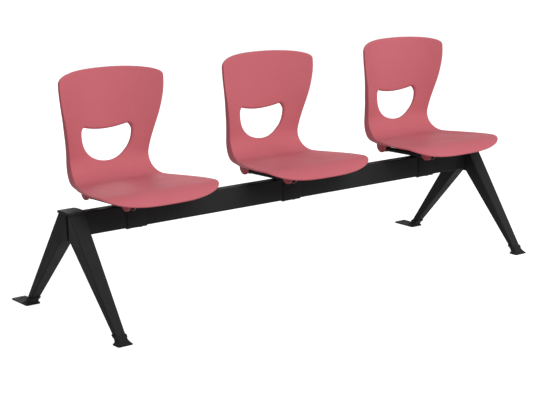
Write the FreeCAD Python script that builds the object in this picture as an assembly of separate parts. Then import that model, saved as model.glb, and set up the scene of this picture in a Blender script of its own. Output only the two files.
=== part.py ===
"""Beam seating: three moulded seats on one steel beam between two A-shaped end frames.

Millimetres. X runs along the beam, -Y is the side the sitters face, +Z is up.
The origin lies on the floor under the middle of the whole bench.
"""
import FreeCAD
import Part
import math
import os
from FreeCAD import Vector

# Layout of the bench
SEAT_COUNT = 3
SEAT_PITCH = 675.0
END_FRAME_OFFSET = 243.5
FRONT_REACH = 314.5
REAR_REACH = 384.5

# Beam, a rectangular steel tube
BEAM_HEIGHT = 80.0
BEAM_DEPTH = 40.0
BEAM_WALL = 3.0
BEAM_CORNER = 4.0
SMALLEST_CORNER = 0.5
BEAM_TOP = 380.0
PLUG_LIP = 2.0
PLUG_LENGTH = 20.0
PLUG_FIT = 0.2

# End frames, two cast legs clamped round each end of the beam
LEG_TOP_WIDTH = 59.5
LEG_FLOOR_WIDTH = 35.4
LEG_TOP_HALF_DEPTH = 35.5
LEG_OUTER_FOOT = 308.0
LEG_INNER_FOOT = 286.5
LEG_INNER_SLOPE = 0.9
LEG_EDGE_RADIUS = 5.0
HUB_WEB = 8.0
HUB_POCKET = 34.0
POCKET_FIT = 0.2
SEAM_FRONT = 13.0
SEAM_RECESS = 14.0
SEAM_RECESS_DEPTH = 15.0
LEG_SCREW_RADIUS = 4.0
LEG_SCREW_HEAD_RADIUS = 6.5
LEG_SCREW_HEAD = 8.0
LEG_SCREW_SEAT = 42.0
LEG_SCREW_REACH = 34.0
LEG_SCREW_HEIGHTS = (322.0, 358.0)
LEG_SCREW_INSET = 15.0

# Top caps and feet of the end frames
CAP_LENGTH = 67.0
CAP_DEPTH = 78.0
CAP_HEIGHT = 10.0
CAP_CROWN = 2.5
CAP_CORNER = 6.0
CAP_PEG_RADIUS = 2.5
CAP_PEG_LENGTH = 6.0
CAP_PEG_SPACING = 30.0
FOOT_WIDTH = 57.0
FOOT_DEPTH = 39.0
FOOT_LIP = 5.0
FOOT_FLOOR = 4.0
FOOT_COLLAR_HEIGHT = 30.0
FOOT_COLLAR_WALL = 2.5
FOOT_CORNER = 6.0
FOOT_FIT = 0.2
FOOT_FLARE_STEPS = 4
FOOT_FLARE_POWER = 2.2
FLOOR_HOLE_RADIUS = 5.0
FLOOR_HOLE_SETBACK = 22.5

# Seat frame, welded from two side tubes and a pressed cross plate
TUBE_RADIUS = 9.0
TUBE_WALL = 2.0
TUBE_SPACING = 240.0
TUBE_FRONT = 180.0
TUBE_REAR = 107.0
TUBE_RISE = 20.0
CROSS_THICKNESS = 4.0
CROSS_DEPTH = 50.0
CROSS_FLAT = 80.0
TUBE_CAP_LIP = 3.0
TUBE_CAP_INSERT = 8.0

# Clamp that holds a seat frame on the beam
CLAMP_WIDTH = 80.0
CLAMP_THICKNESS = 3.0
CLAMP_BEND = 3.0
BOLT_RADIUS = 4.0
BOLT_HOLE_RADIUS = 4.5
BOLT_SPACING = 50.0
BOLT_HEAD_ACROSS = 13.0
BOLT_HEAD_HEIGHT = 5.5
BOLT_END = 3.0
NUT_HEIGHT = 6.5

# Seat shell: the centre line runs from the crown of the back to the front edge
SHELL_TOP_HEIGHT = 823.0
SEAT_RISE = 30.5
HEEL_SETBACK = 70.7
BACK_LEAN = 4.5
BEND_RADIUS = 90.0
SEAT_ANGLE = 92.0
SEAT_LENGTH = 222.0
FRONT_RADIUS = 97.0
FRONT_ANGLE = 38.0
BACK_WIDTH = 416.0
WAIST_WIDTH = 319.0
SEAT_WIDTH = 472.0
BACK_WIDTH_AT = 55.0
WAIST_PAST_BACK = 36.0
WIDEST_BEFORE_FRONT = 107.0
BACK_WRAP_RADIUS = 303.0
WRAP_HOLDS_BEFORE_BEND = 144.0
WRAP_ENDS_PAST_BEND = 19.0
CROWN_HEIGHT = 42.0
CROWN_POWER = 2.4
FRONT_CORNER_LENGTH = 113.0
FRONT_CORNER_POWER = 2.85
SHELL_WALL = 4.0
RIM_ROLL = 4.5
# How deep the turned edge is, at distances past the start of the bend
RIM_DEPTHS = ((-194, 13.0), (-64, 22.0), (-4, 24.0), (66, 34.0), (131, 15.0), (306, 6.0))
CROWN_SECTIONS = 5
BACK_SECTIONS = 6
BEND_SECTIONS = 10
SEAT_SECTIONS = 4
NOSE_SECTIONS = 8
FIRST_SECTION = 0.67
END_ROLL = 0.8

# Hand hole in the back of each shell
HOLE_HALF_WIDTH = 101.5
HOLE_MIDDLE_RISE = 153.5
HOLE_TOP_RISE = 176.0
HOLE_TOP_SAG = 12.5
HOLE_BOTTOM_RISE = 56.5
HOLE_ROUNDNESS = 0.6
HOLE_CORNER = 15.0
HOLE_CORNER_PULL = 0.5
HOLE_LIP_DEPTH = 6.0

# Clips under the shell, a pair of ears each side of a tube
CLIP_FIT = 0.25
EAR_THICKNESS = 4.5
EAR_RADIUS = 26.5
EAR_DROP = 5.5
CLIP_REAR = 84.0
CLIP_FRONT = -158.0
SADDLE_LENGTH = 24.0
SHELL_SCREW_RADIUS = 2.5
SHELL_SCREW_FIT = 0.2
SHELL_SCREW_HEAD_RADIUS = 4.5
SHELL_SCREW_HEAD = 3.0
SHELL_SCREW_BITE = 3.0
LIP_SECTIONS = 8
TRIM_SECTIONS = 24
TRIM_HEIGHT = 72.0

# Sizes that follow from the ones above
BEAM_Y = (FRONT_REACH - REAR_REACH) / 2
BEAM_BOTTOM = BEAM_TOP - BEAM_HEIGHT
HALF_SPAN = SEAT_PITCH * (SEAT_COUNT - 1) / 2
LEG_X = HALF_SPAN + END_FRAME_OFFSET
HUB_INNER_X = LEG_X - LEG_TOP_WIDTH / 2
POCKET_END_X = HUB_INNER_X + HUB_POCKET
BEAM_END_X = POCKET_END_X - PLUG_LIP
WEB_BOTTOM = BEAM_BOTTOM - HUB_WEB
LEG_OUTER_SLOPE = (LEG_OUTER_FOOT - LEG_TOP_HALF_DEPTH) / BEAM_TOP
TUBE_Z = BEAM_TOP + TUBE_RISE + TUBE_RADIUS
SEAT_Z = TUBE_Z + TUBE_RADIUS + SEAT_RISE
EAR_CENTRE_Z = TUBE_Z - TUBE_RADIUS - EAR_DROP + EAR_RADIUS
LEAN = math.radians(BACK_LEAN)
HEEL_Z = SEAT_Z + BEND_RADIUS * math.sin(math.radians(SEAT_ANGLE))
BACK_LENGTH = (SHELL_TOP_HEIGHT - HEEL_Z + BEND_RADIUS * math.sin(LEAN)) / math.cos(LEAN)
BEND_LENGTH = BEND_RADIUS * math.radians(SEAT_ANGLE - BACK_LEAN)
FRONT_LENGTH = FRONT_RADIUS * math.radians(SEAT_ANGLE - FRONT_ANGLE)
BEND_ENDS = BACK_LENGTH + BEND_LENGTH
SEAT_ENDS = BEND_ENDS + SEAT_LENGTH
SHELL_LENGTH = SEAT_ENDS + FRONT_LENGTH
WAIST_AT = BACK_LENGTH + WAIST_PAST_BACK
SEAT_WIDTH_AT = SHELL_LENGTH - WIDEST_BEFORE_FRONT
WRAP_FADES_FROM = BACK_LENGTH - WRAP_HOLDS_BEFORE_BEND
WRAP_FADES_TO = BEND_ENDS + WRAP_ENDS_PAST_BEND
HOLE_MIDDLE_HEIGHT = SEAT_Z + HOLE_MIDDLE_RISE
HOLE_TOP_HEIGHT = SEAT_Z + HOLE_TOP_RISE
HOLE_BOTTOM_HEIGHT = SEAT_Z + HOLE_BOTTOM_RISE
SEAT_NAMES = ("left", "middle", "right")
SEAT_PLACES = [(index - (SEAT_COUNT - 1) / 2) * SEAT_PITCH for index in range(SEAT_COUNT)]
LARGE = 1000.0


def box(x0, x1, y0, y1, z0, z1):
    """A block between two corners, with y counted from the beam's centre line."""
    return Part.makeBox(x1 - x0, y1 - y0, z1 - z0, Vector(x0, BEAM_Y + y0, z0))


def rod(radius, start, end):
    """A round bar between two points, with y counted from the beam's centre line."""
    shift = Vector(0, BEAM_Y, 0)
    run = end - start
    return Part.makeCylinder(radius, run.Length, start + shift, run)


def polygon_face(points):
    return Part.Face(Part.makePolygon(points + [points[0]]))


def mirrored(shape):
    return shape.mirror(Vector(0, 0, 0), Vector(1, 0, 0))


def rounded_rectangle(width, depth, radius, x, y, z):
    """A closed wire at height z, with y counted from the beam's centre line."""
    w = width / 2
    d = depth / 2
    r = radius
    k = r * (1 - math.sqrt(0.5))
    edges = []
    for sx, sy, swap in ((1, -1, False), (1, 1, True), (-1, 1, False), (-1, -1, True)):
        corner_a = Vector(x + sx * (w - r), BEAM_Y + y + sy * d, z)
        corner_m = Vector(x + sx * (w - k), BEAM_Y + y + sy * (d - k), z)
        corner_b = Vector(x + sx * w, BEAM_Y + y + sy * (d - r), z)
        first, last = (corner_b, corner_a) if swap else (corner_a, corner_b)
        if edges:
            edges.append(Part.makeLine(edges[-1].lastVertex().Point, first))
        edges.append(Part.Arc(first, corner_m, last).toShape())
    edges.append(Part.makeLine(edges[-1].lastVertex().Point, edges[0].firstVertex().Point))
    return Part.Wire(edges)


def beam_section(grow, x):
    """The beam's outline, square to X, grown on every side."""
    wire = rounded_rectangle(BEAM_HEIGHT + 2 * grow, BEAM_DEPTH + 2 * grow,
                             max(SMALLEST_CORNER, BEAM_CORNER + grow), 0, 0, 0)
    wire.translate(Vector(0, -BEAM_Y, 0))
    wire.rotate(Vector(0, 0, 0), Vector(0, 1, 0), 90)
    wire.translate(Vector(x, BEAM_Y, BEAM_TOP - BEAM_HEIGHT / 2))
    return wire


def bolt_places(seat_x):
    return [seat_x + side * BOLT_SPACING / 2 for side in (-1, 1)]


def make_beam():
    length = 2 * BEAM_END_X
    outer = Part.Face(beam_section(0, -BEAM_END_X)).extrude(Vector(length, 0, 0))
    inner = Part.Face(beam_section(-BEAM_WALL, -BEAM_END_X - 1)).extrude(Vector(length + 2, 0, 0))
    beam = outer.cut(inner)
    holes = []
    for seat_x in SEAT_PLACES:
        for x in bolt_places(seat_x):
            holes.append(rod(BOLT_HOLE_RADIUS, Vector(x, 0, BEAM_BOTTOM - 1), Vector(x, 0, BEAM_TOP + 1)))
    for side in (-1, 1):
        for z in LEG_SCREW_HEIGHTS:
            x = side * (HUB_INNER_X + LEG_SCREW_INSET)
            holes.append(rod(LEG_SCREW_RADIUS + POCKET_FIT, Vector(x, -BEAM_DEPTH, z), Vector(x, BEAM_DEPTH, z)))
    return beam.cut(holes)


def make_beam_plug():
    lip = Part.Face(beam_section(0, BEAM_END_X)).extrude(Vector(PLUG_LIP, 0, 0))
    core = Part.Face(beam_section(-BEAM_WALL - PLUG_FIT, BEAM_END_X - PLUG_LENGTH))
    plug = lip.fuse(core.extrude(Vector(PLUG_LENGTH, 0, 0)))
    holes = []
    for z in LEG_SCREW_HEIGHTS:
        x = HUB_INNER_X + LEG_SCREW_INSET
        holes.append(rod(LEG_SCREW_RADIUS + POCKET_FIT, Vector(x, -BEAM_DEPTH, z), Vector(x, BEAM_DEPTH, z)))
    return plug.cut(holes).removeSplitter()


def leg_outer(z):
    return LEG_TOP_HALF_DEPTH + (BEAM_TOP - z) * LEG_OUTER_SLOPE


def leg_inner(z):
    return LEG_INNER_FOOT - z * LEG_INNER_SLOPE


def leg_half_width(z):
    share = z / BEAM_TOP
    return (LEG_FLOOR_WIDTH + (LEG_TOP_WIDTH - LEG_FLOOR_WIDTH) * share) / 2


def leg_blank(facing, bottom, grow):
    """One leg as cast, before its pocket: facing is -1 for the front leg and 1 for the rear."""
    seam = -SEAM_FRONT
    points = [
        (facing * (leg_outer(BEAM_TOP) + grow), BEAM_TOP),
        (facing * (leg_outer(bottom) + grow), bottom),
        (facing * (leg_inner(bottom) - grow), bottom),
        (facing * (leg_inner(WEB_BOTTOM) - grow), WEB_BOTTOM),
        (seam, WEB_BOTTOM),
        (seam, BEAM_TOP),
    ]
    corners = [Vector(LEG_X - LARGE / 4, BEAM_Y + y, z) for y, z in points]
    side_view = polygon_face(corners).extrude(Vector(LARGE / 2, 0, 0))
    low = leg_half_width(bottom) + grow
    high = leg_half_width(BEAM_TOP) + grow
    front_points = [(-low, bottom), (low, bottom), (high, BEAM_TOP), (-high, BEAM_TOP)]
    corners = [Vector(LEG_X + x, BEAM_Y - LARGE / 2, z) for x, z in front_points]
    front_view = polygon_face(corners).extrude(Vector(0, LARGE, 0))
    blank = side_view.common(front_view)
    span = (BEAM_TOP - bottom) / 2
    long_edges = [edge for edge in blank.Edges if edge.BoundBox.ZLength > span]
    return blank.makeFillet(LEG_EDGE_RADIUS + grow, long_edges)


def leg_cuts():
    """The beam's pocket, the screws' holes and the cap's peg holes at one end frame."""
    pocket = Part.Face(beam_section(POCKET_FIT, HUB_INNER_X - LEG_TOP_WIDTH))
    cuts = [pocket.extrude(Vector(LEG_TOP_WIDTH + HUB_POCKET, 0, 0))]
    cuts.append(box(HUB_INNER_X - LEG_TOP_WIDTH, POCKET_END_X, -BEAM_DEPTH / 2 - POCKET_FIT,
                    BEAM_DEPTH / 2 + POCKET_FIT, BEAM_TOP - BEAM_CORNER, BEAM_TOP + 1))
    x = HUB_INNER_X + LEG_SCREW_INSET
    for z in LEG_SCREW_HEIGHTS:
        cuts.append(rod(LEG_SCREW_RADIUS + POCKET_FIT, Vector(x, -LEG_SCREW_REACH, z), Vector(x, LARGE / 4, z)))
        cuts.append(rod(LEG_SCREW_HEAD_RADIUS + 1, Vector(x, LEG_SCREW_SEAT, z), Vector(x, LARGE / 4, z)))
    return cuts


def cap_pegs(grow):
    """The cap's four locating pegs, or with grow the holes that take them."""
    y = (LEG_TOP_HALF_DEPTH + BEAM_DEPTH / 2) / 2
    pegs = []
    for side in (-1, 1):
        for facing in (-1, 1):
            x = LEG_X + side * CAP_PEG_SPACING / 2
            low = Vector(x, facing * y, BEAM_TOP - CAP_PEG_LENGTH - grow)
            pegs.append(rod(CAP_PEG_RADIUS + grow, low, Vector(x, facing * y, BEAM_TOP + 1)))
    return pegs


def make_leg(facing):
    leg = leg_blank(facing, FOOT_FLOOR, 0)
    hub_outer_x = LEG_X + LEG_TOP_WIDTH / 2
    if facing < 0:
        recess = box(hub_outer_x - SEAM_RECESS_DEPTH, hub_outer_x + 1, -SEAM_FRONT - SEAM_RECESS,
                     -SEAM_FRONT + 1, WEB_BOTTOM - 1, BEAM_TOP + 1)
        leg = leg.cut(recess)
    else:
        outer_face_x = hub_outer_x - LEG_EDGE_RADIUS
        seam_edges = []
        for edge in leg.Edges:
            bound = edge.BoundBox
            on_seam = bound.YMax < BEAM_Y - SEAM_FRONT + 1e-3
            if on_seam and bound.ZLength > HUB_WEB and bound.XMin > outer_face_x:
                seam_edges.append(edge)
        leg = leg.makeFillet(LEG_EDGE_RADIUS, seam_edges)
    return leg.cut(leg_cuts() + cap_pegs(POCKET_FIT))


def make_leg_screws():
    x = HUB_INNER_X + LEG_SCREW_INSET
    screws = []
    for z in LEG_SCREW_HEIGHTS:
        shank = rod(LEG_SCREW_RADIUS, Vector(x, -LEG_SCREW_REACH, z), Vector(x, LEG_SCREW_SEAT, z))
        head = rod(LEG_SCREW_HEAD_RADIUS, Vector(x, LEG_SCREW_SEAT, z),
                   Vector(x, LEG_SCREW_SEAT + LEG_SCREW_HEAD, z))
        screws.append(shank.fuse(head).removeSplitter())
    return Part.makeCompound(screws)


def make_top_cap():
    outline = rounded_rectangle(CAP_LENGTH, CAP_DEPTH, CAP_CORNER, LEG_X, 0, BEAM_TOP)
    cap = Part.Face(outline).extrude(Vector(0, 0, CAP_HEIGHT))
    crown_radius = ((CAP_DEPTH / 2) ** 2 + CAP_CROWN ** 2) / (2 * CAP_CROWN)
    centre_z = BEAM_TOP + CAP_HEIGHT - crown_radius
    crown = rod(crown_radius, Vector(LEG_X - CAP_LENGTH, 0, centre_z), Vector(LEG_X + CAP_LENGTH, 0, centre_z))
    return cap.common(crown).fuse(cap_pegs(0)).removeSplitter()


def foot_flare(facing):
    """The boot's flared collar, a chain of rounded rectangles round the slanting leg."""
    wires = []
    for step in range(FOOT_FLARE_STEPS + 1):
        share = step / FOOT_FLARE_STEPS
        z = FOOT_LIP + (FOOT_COLLAR_HEIGHT - FOOT_LIP) * share
        spread = (1 - share) ** FOOT_FLARE_POWER
        collar_width = 2 * (leg_half_width(z) + FOOT_COLLAR_WALL)
        collar_depth = leg_outer(z) - leg_inner(z) + 2 * FOOT_COLLAR_WALL
        width = collar_width + (FOOT_WIDTH - collar_width) * spread
        depth = collar_depth + (FOOT_DEPTH - collar_depth) * spread
        base_y = FRONT_REACH - FOOT_DEPTH / 2
        leg_y = (leg_outer(z) + leg_inner(z)) / 2
        y = leg_y + (base_y - leg_y) * spread
        wires.append(rounded_rectangle(width, depth, FOOT_CORNER, LEG_X, facing * y, z))
    return Part.makeLoft(wires, True, True)


def make_foot(facing):
    """A boot that takes one leg; the rear one runs on as a plate with a floor fixing hole."""
    reach = FRONT_REACH if facing < 0 else REAR_REACH
    inner = FRONT_REACH - FOOT_DEPTH
    base = rounded_rectangle(FOOT_WIDTH, reach - inner, FOOT_CORNER, LEG_X, facing * (reach + inner) / 2, 0)
    foot = Part.Face(base).extrude(Vector(0, 0, FOOT_LIP)).fuse(foot_flare(facing)).removeSplitter()
    foot = foot.cut(leg_blank(facing, FOOT_FLOOR, FOOT_FIT))
    if facing > 0:
        y = REAR_REACH - FLOOR_HOLE_SETBACK
        foot = foot.cut(rod(FLOOR_HOLE_RADIUS, Vector(LEG_X, y, -1), Vector(LEG_X, y, FOOT_LIP + 1)))
    return foot


def make_seat_frame():
    """Two side tubes on a pressed plate that sits on the beam, as one weldment."""
    half = TUBE_SPACING / 2
    flat = CROSS_FLAT / 2
    low = BEAM_TOP
    high = BEAM_TOP + TUBE_RISE
    lower = [(-half, high), (-flat, low), (flat, low), (half, high)]
    upper = [(x, z + CROSS_THICKNESS) for x, z in reversed(lower)]
    corners = [Vector(x, BEAM_Y - CROSS_DEPTH / 2, z) for x, z in lower + upper]
    plate = polygon_face(corners).extrude(Vector(0, CROSS_DEPTH, 0))
    frame = plate
    for side in (-1, 1):
        front = Vector(side * half, -TUBE_FRONT, TUBE_Z)
        rear = Vector(side * half, TUBE_REAR, TUBE_Z)
        frame = frame.fuse(rod(TUBE_RADIUS, front, rear))
    bores = []
    for side in (-1, 1):
        front = Vector(side * half, -TUBE_FRONT - 1, TUBE_Z)
        rear = Vector(side * half, TUBE_REAR + 1, TUBE_Z)
        bores.append(rod(TUBE_RADIUS - TUBE_WALL, front, rear))
        for y in (CLIP_REAR, CLIP_FRONT):
            bores.append(rod(SHELL_SCREW_RADIUS + SHELL_SCREW_FIT, Vector(side * half - 2 * TUBE_RADIUS, y, TUBE_Z),
                             Vector(side * half + 2 * TUBE_RADIUS, y, TUBE_Z)))
    for x in bolt_places(0):
        bores.append(rod(BOLT_HOLE_RADIUS, Vector(x, 0, BEAM_TOP - 1), Vector(x, 0, BEAM_TOP + TUBE_RISE)))
    return frame.cut(bores)


def make_tube_caps():
    caps = []
    for side in (-1, 1):
        for y, facing in ((-TUBE_FRONT, -1), (TUBE_REAR, 1)):
            end = Vector(side * TUBE_SPACING / 2, y, TUBE_Z)
            lip = rod(TUBE_RADIUS, end, end + Vector(0, facing * TUBE_CAP_LIP, 0))
            lip = lip.makeChamfer(TUBE_CAP_LIP / 2, [max(lip.Edges, key=lambda e: facing * e.CenterOfMass.y)])
            insert = rod(TUBE_RADIUS - TUBE_WALL - PLUG_FIT, end - Vector(0, facing * TUBE_CAP_INSERT, 0), end)
            caps.append(lip.fuse(insert).removeSplitter())
    return Part.makeCompound(caps)


def make_beam_clamp():
    """A channel that hugs the beam from below and closes under the cross plate."""
    inner = BEAM_DEPTH / 2
    outer = inner + CLAMP_THICKNESS
    width = CLAMP_WIDTH / 2
    bottom = BEAM_BOTTOM - CLAMP_THICKNESS
    block = box(-width, width, -outer, outer, bottom, BEAM_TOP)
    bends = [edge for edge in block.Edges
             if edge.BoundBox.XLength > width and edge.BoundBox.ZMax < BEAM_BOTTOM]
    block = block.makeFillet(CLAMP_BEND + CLAMP_THICKNESS, bends)
    space = Part.Face(beam_section(POCKET_FIT, -width - 1)).extrude(Vector(CLAMP_WIDTH + 2, 0, 0))
    top = box(-width - 1, width + 1, -inner - POCKET_FIT, inner + POCKET_FIT, BEAM_TOP - BEAM_CORNER, BEAM_TOP + 1)
    holes = [rod(BOLT_HOLE_RADIUS, Vector(x, 0, bottom - 1), Vector(x, 0, BEAM_BOTTOM + 1)) for x in bolt_places(0)]
    return block.cut([space, top] + holes)


def hexagon(x, z, height):
    """A hexagonal prism round an upright axis on the beam's centre line."""
    radius = BOLT_HEAD_ACROSS / math.sqrt(3)
    corners = []
    for step in range(6):
        angle = math.radians(60 * step + 30)
        corners.append(Vector(x + radius * math.cos(angle), BEAM_Y + radius * math.sin(angle), z))
    return polygon_face(corners).extrude(Vector(0, 0, height))


def make_clamp_bolts():
    bolts = []
    under = BEAM_BOTTOM - CLAMP_THICKNESS
    top = BEAM_TOP + CROSS_THICKNESS + NUT_HEIGHT + BOLT_END
    for x in bolt_places(0):
        shank = rod(BOLT_RADIUS, Vector(x, 0, under), Vector(x, 0, top))
        head = hexagon(x, under - BOLT_HEAD_HEIGHT, BOLT_HEAD_HEIGHT)
        bolts.append(shank.fuse(head).removeSplitter())
    return Part.makeCompound(bolts)


def make_clamp_nuts():
    seat = BEAM_TOP + CROSS_THICKNESS
    nuts = []
    for x in bolt_places(0):
        bore = rod(BOLT_RADIUS + POCKET_FIT / 2, Vector(x, 0, seat - 1), Vector(x, 0, seat + NUT_HEIGHT + 1))
        nuts.append(hexagon(x, seat, NUT_HEIGHT).cut(bore))
    return Part.makeCompound(nuts)


def direction(angle):
    """Along the shell's centre line, from the crown down; angle 0 points straight down."""
    turn = math.radians(angle)
    return Vector(0, -math.sin(turn), -math.cos(turn))


def outward(angle):
    """Square to the centre line, away from the sitter."""
    turn = math.radians(angle)
    return Vector(0, math.cos(turn), -math.sin(turn))


def centre_line(s):
    """The point and the angle at a distance s from the crown: straight, bend, straight, nose."""
    heel = Vector(0, BEAM_Y + HEEL_SETBACK, HEEL_Z)
    if s <= BACK_LENGTH:
        back = heel + outward(BACK_LEAN) * BEND_RADIUS
        return back - direction(BACK_LEAN) * (BACK_LENGTH - s), BACK_LEAN
    if s <= BEND_ENDS:
        angle = BACK_LEAN + math.degrees((s - BACK_LENGTH) / BEND_RADIUS)
        return heel + outward(angle) * BEND_RADIUS, angle
    seat = heel + outward(SEAT_ANGLE) * BEND_RADIUS
    if s <= SEAT_ENDS:
        return seat + direction(SEAT_ANGLE) * (s - BEND_ENDS), SEAT_ANGLE
    nose = seat + direction(SEAT_ANGLE) * SEAT_LENGTH + outward(SEAT_ANGLE) * FRONT_RADIUS
    angle = SEAT_ANGLE - math.degrees((s - SEAT_ENDS) / FRONT_RADIUS)
    return nose - outward(angle) * FRONT_RADIUS, angle


def ease(s, start, end, low, high):
    """A smooth change from low to high between two places on the centre line."""
    share = min(1.0, max(0.0, (s - start) / (end - start)))
    return low + (high - low) * share * share * (3 - 2 * share)


def side_width(s):
    """Half the shell's width, before its corners are rounded."""
    if s < WAIST_AT:
        return ease(s, BACK_WIDTH_AT, WAIST_AT, BACK_WIDTH, WAIST_WIDTH) / 2
    return ease(s, WAIST_AT, SEAT_WIDTH_AT, WAIST_WIDTH, SEAT_WIDTH) / 2


def wrap(s):
    """How fast the shell curls round the sitter, one half over its radius."""
    return ease(s, WRAP_FADES_FROM, WRAP_FADES_TO, 0.5 / BACK_WRAP_RADIUS, 0)


def rim_depth(s):
    """How far the shell's turned edge stands behind its face."""
    depth = RIM_DEPTHS[0][1]
    for (start, low), (end, high) in zip(RIM_DEPTHS, RIM_DEPTHS[1:]):
        if s > BACK_LENGTH + start:
            depth = ease(s, BACK_LENGTH + start, BACK_LENGTH + end, low, high)
    return depth


def skin(x, s, depth):
    """A point on the shell: across, along the centre line, and behind the face."""
    point, angle = centre_line(s)
    return point + outward(angle) * (depth - wrap(s) * x * x) + Vector(x, 0, 0)


def between(start, end, count):
    """Evenly spaced places after start, up to and with end."""
    return [start + (end - start) * step / count for step in range(1, count + 1)]


def corner_sections(count, power):
    """Sections of a rounded end, as shares of its length and of its width."""
    sections = []
    for step in range(1, count + 1):
        first = FIRST_SECTION if step == 1 else 1
        angle = math.radians(90 * step * first / count)
        sections.append((1 - math.cos(angle) ** (2 / power), math.sin(angle) ** (2 / power)))
    return sections


def stations(inset):
    """Where the shell is cut into sections, with the half width there, inset on every side."""
    places = []
    length = CROWN_HEIGHT - inset
    for s, share in corner_sections(CROWN_SECTIONS, CROWN_POWER):
        s = inset + length * s
        places.append((s, (side_width(s) - inset) * share))
    middle = between(CROWN_HEIGHT, BACK_LENGTH, BACK_SECTIONS)
    middle += between(BACK_LENGTH, BEND_ENDS, BEND_SECTIONS)
    middle += between(BEND_ENDS, SHELL_LENGTH - FRONT_CORNER_LENGTH, SEAT_SECTIONS)[:-1]
    places += [(s, side_width(s) - inset) for s in middle]
    length = FRONT_CORNER_LENGTH - inset
    for s, share in reversed(corner_sections(NOSE_SECTIONS, FRONT_CORNER_POWER)):
        s = SHELL_LENGTH - inset - length * s
        places.append((s, (side_width(s) - inset) * share))
    return places


def bezier(poles):
    curve = Part.BezierCurve()
    curve.setPoles(poles)
    return curve.toShape()


def arch(s, half_width, depth):
    """One section's curve from side to side, an exact parabola."""
    left = skin(-half_width, s, depth)
    right = skin(half_width, s, depth)
    middle = skin(0, s, depth) * 2 - (left + right) * 0.5
    return bezier([left, middle, right])


def roll(s, half_width, start, side):
    """The rolled edge from the face to the turned side."""
    return bezier([skin(side * (half_width - RIM_ROLL), s, start), skin(side * half_width, s, start),
                   skin(side * half_width, s, start + RIM_ROLL)])


def shell_body():
    """The shell filled in behind, rolled at its sides and at both ends."""
    wires = []
    for s, half_width in stations(0):
        near_end = min(s, SHELL_LENGTH - s, RIM_ROLL)
        start = END_ROLL * (RIM_ROLL - math.sqrt(RIM_ROLL ** 2 - (RIM_ROLL - near_end) ** 2))
        back = max(rim_depth(s), start + RIM_ROLL + 1)
        right_roll = roll(s, half_width, start, 1)
        left_roll = roll(s, half_width, start, -1)
        wires.append(Part.Wire([
            arch(s, half_width - RIM_ROLL, start),
            right_roll,
            Part.makeLine(skin(half_width, s, start + RIM_ROLL), skin(half_width, s, back)),
            arch(s, half_width, back),
            Part.makeLine(skin(-half_width, s, back), skin(-half_width, s, start + RIM_ROLL)),
            left_roll,
        ]))
    return Part.makeLoft(wires, True, True)


def shell_core():
    """The hollow behind the shell's wall, inside its turned edge."""
    wires = []
    for s, half_width in stations(SHELL_WALL):
        back = rim_depth(s) + 2 * RIM_ROLL
        wires.append(Part.Wire([
            arch(s, half_width, SHELL_WALL),
            Part.makeLine(skin(half_width, s, SHELL_WALL), skin(half_width, s, back)),
            arch(s, half_width, back),
            Part.makeLine(skin(-half_width, s, back), skin(-half_width, s, SHELL_WALL)),
        ]))
    return Part.makeLoft(wires, True, True)


def hole_tool(grow):
    """The hand hole's outline seen from the front, drawn through the back."""
    y = BEAM_Y - LARGE / 4
    half = HOLE_HALF_WIDTH + grow
    middle = HOLE_MIDDLE_HEIGHT
    bottom = HOLE_BOTTOM_HEIGHT - grow
    top = HOLE_TOP_HEIGHT + grow
    radius = HOLE_CORNER + grow
    slope = 2 * math.atan(HOLE_TOP_SAG / (half - radius))
    pull_across = half - radius * (1 - HOLE_CORNER_PULL * math.cos(slope))
    pull_up = top + radius * HOLE_CORNER_PULL * math.sin(slope)
    bowl = [(0, bottom), (half * HOLE_ROUNDNESS, bottom),
            (half, middle - (middle - bottom) * HOLE_ROUNDNESS), (half, middle)]
    corner = [(half, middle), (half, middle + (top - middle) * HOLE_CORNER_PULL),
              (pull_across, pull_up), (half - radius, top)]
    edges = [bezier([Vector(x, y, z) for x, z in bowl])]
    edges.append(bezier([Vector(x, y, z) for x, z in corner]))
    edges.append(Part.Arc(Vector(half - radius, y, top), Vector(0, y, top - HOLE_TOP_SAG),
                          Vector(-half + radius, y, top)).toShape())
    edges.append(bezier([Vector(-x, y, z) for x, z in reversed(corner)]))
    edges.append(bezier([Vector(-x, y, z) for x, z in reversed(bowl)]))
    return Part.Face(Part.Wire(edges)).extrude(Vector(0, LARGE / 2, 0))


def lip_band():
    """A thick band of the back round the hand hole, from the face to the lip's rear edge."""
    wires = []
    half = WAIST_WIDTH / 2 - 2 * SHELL_WALL
    for s in [WRAP_FADES_FROM] + between(WRAP_FADES_FROM, BACK_LENGTH + BEND_LENGTH / 3, LIP_SECTIONS):
        wires.append(Part.Wire([
            arch(s, half, SHELL_WALL / 2),
            Part.makeLine(skin(half, s, SHELL_WALL / 2), skin(half, s, HOLE_LIP_DEPTH)),
            arch(s, half, HOLE_LIP_DEPTH),
            Part.makeLine(skin(-half, s, HOLE_LIP_DEPTH), skin(-half, s, SHELL_WALL / 2)),
        ]))
    return Part.makeLoft(wires, True, True)


def ear_places():
    """Across positions of the ears' faces: each tube has one ear on either side."""
    gap = TUBE_RADIUS + CLIP_FIT
    places = []
    for side in (-1, 1):
        for turn in (-1, 1):
            near = side * TUBE_SPACING / 2 + turn * gap
            places.append((side, turn, min(near, near + turn * EAR_THICKNESS)))
    return places


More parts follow.
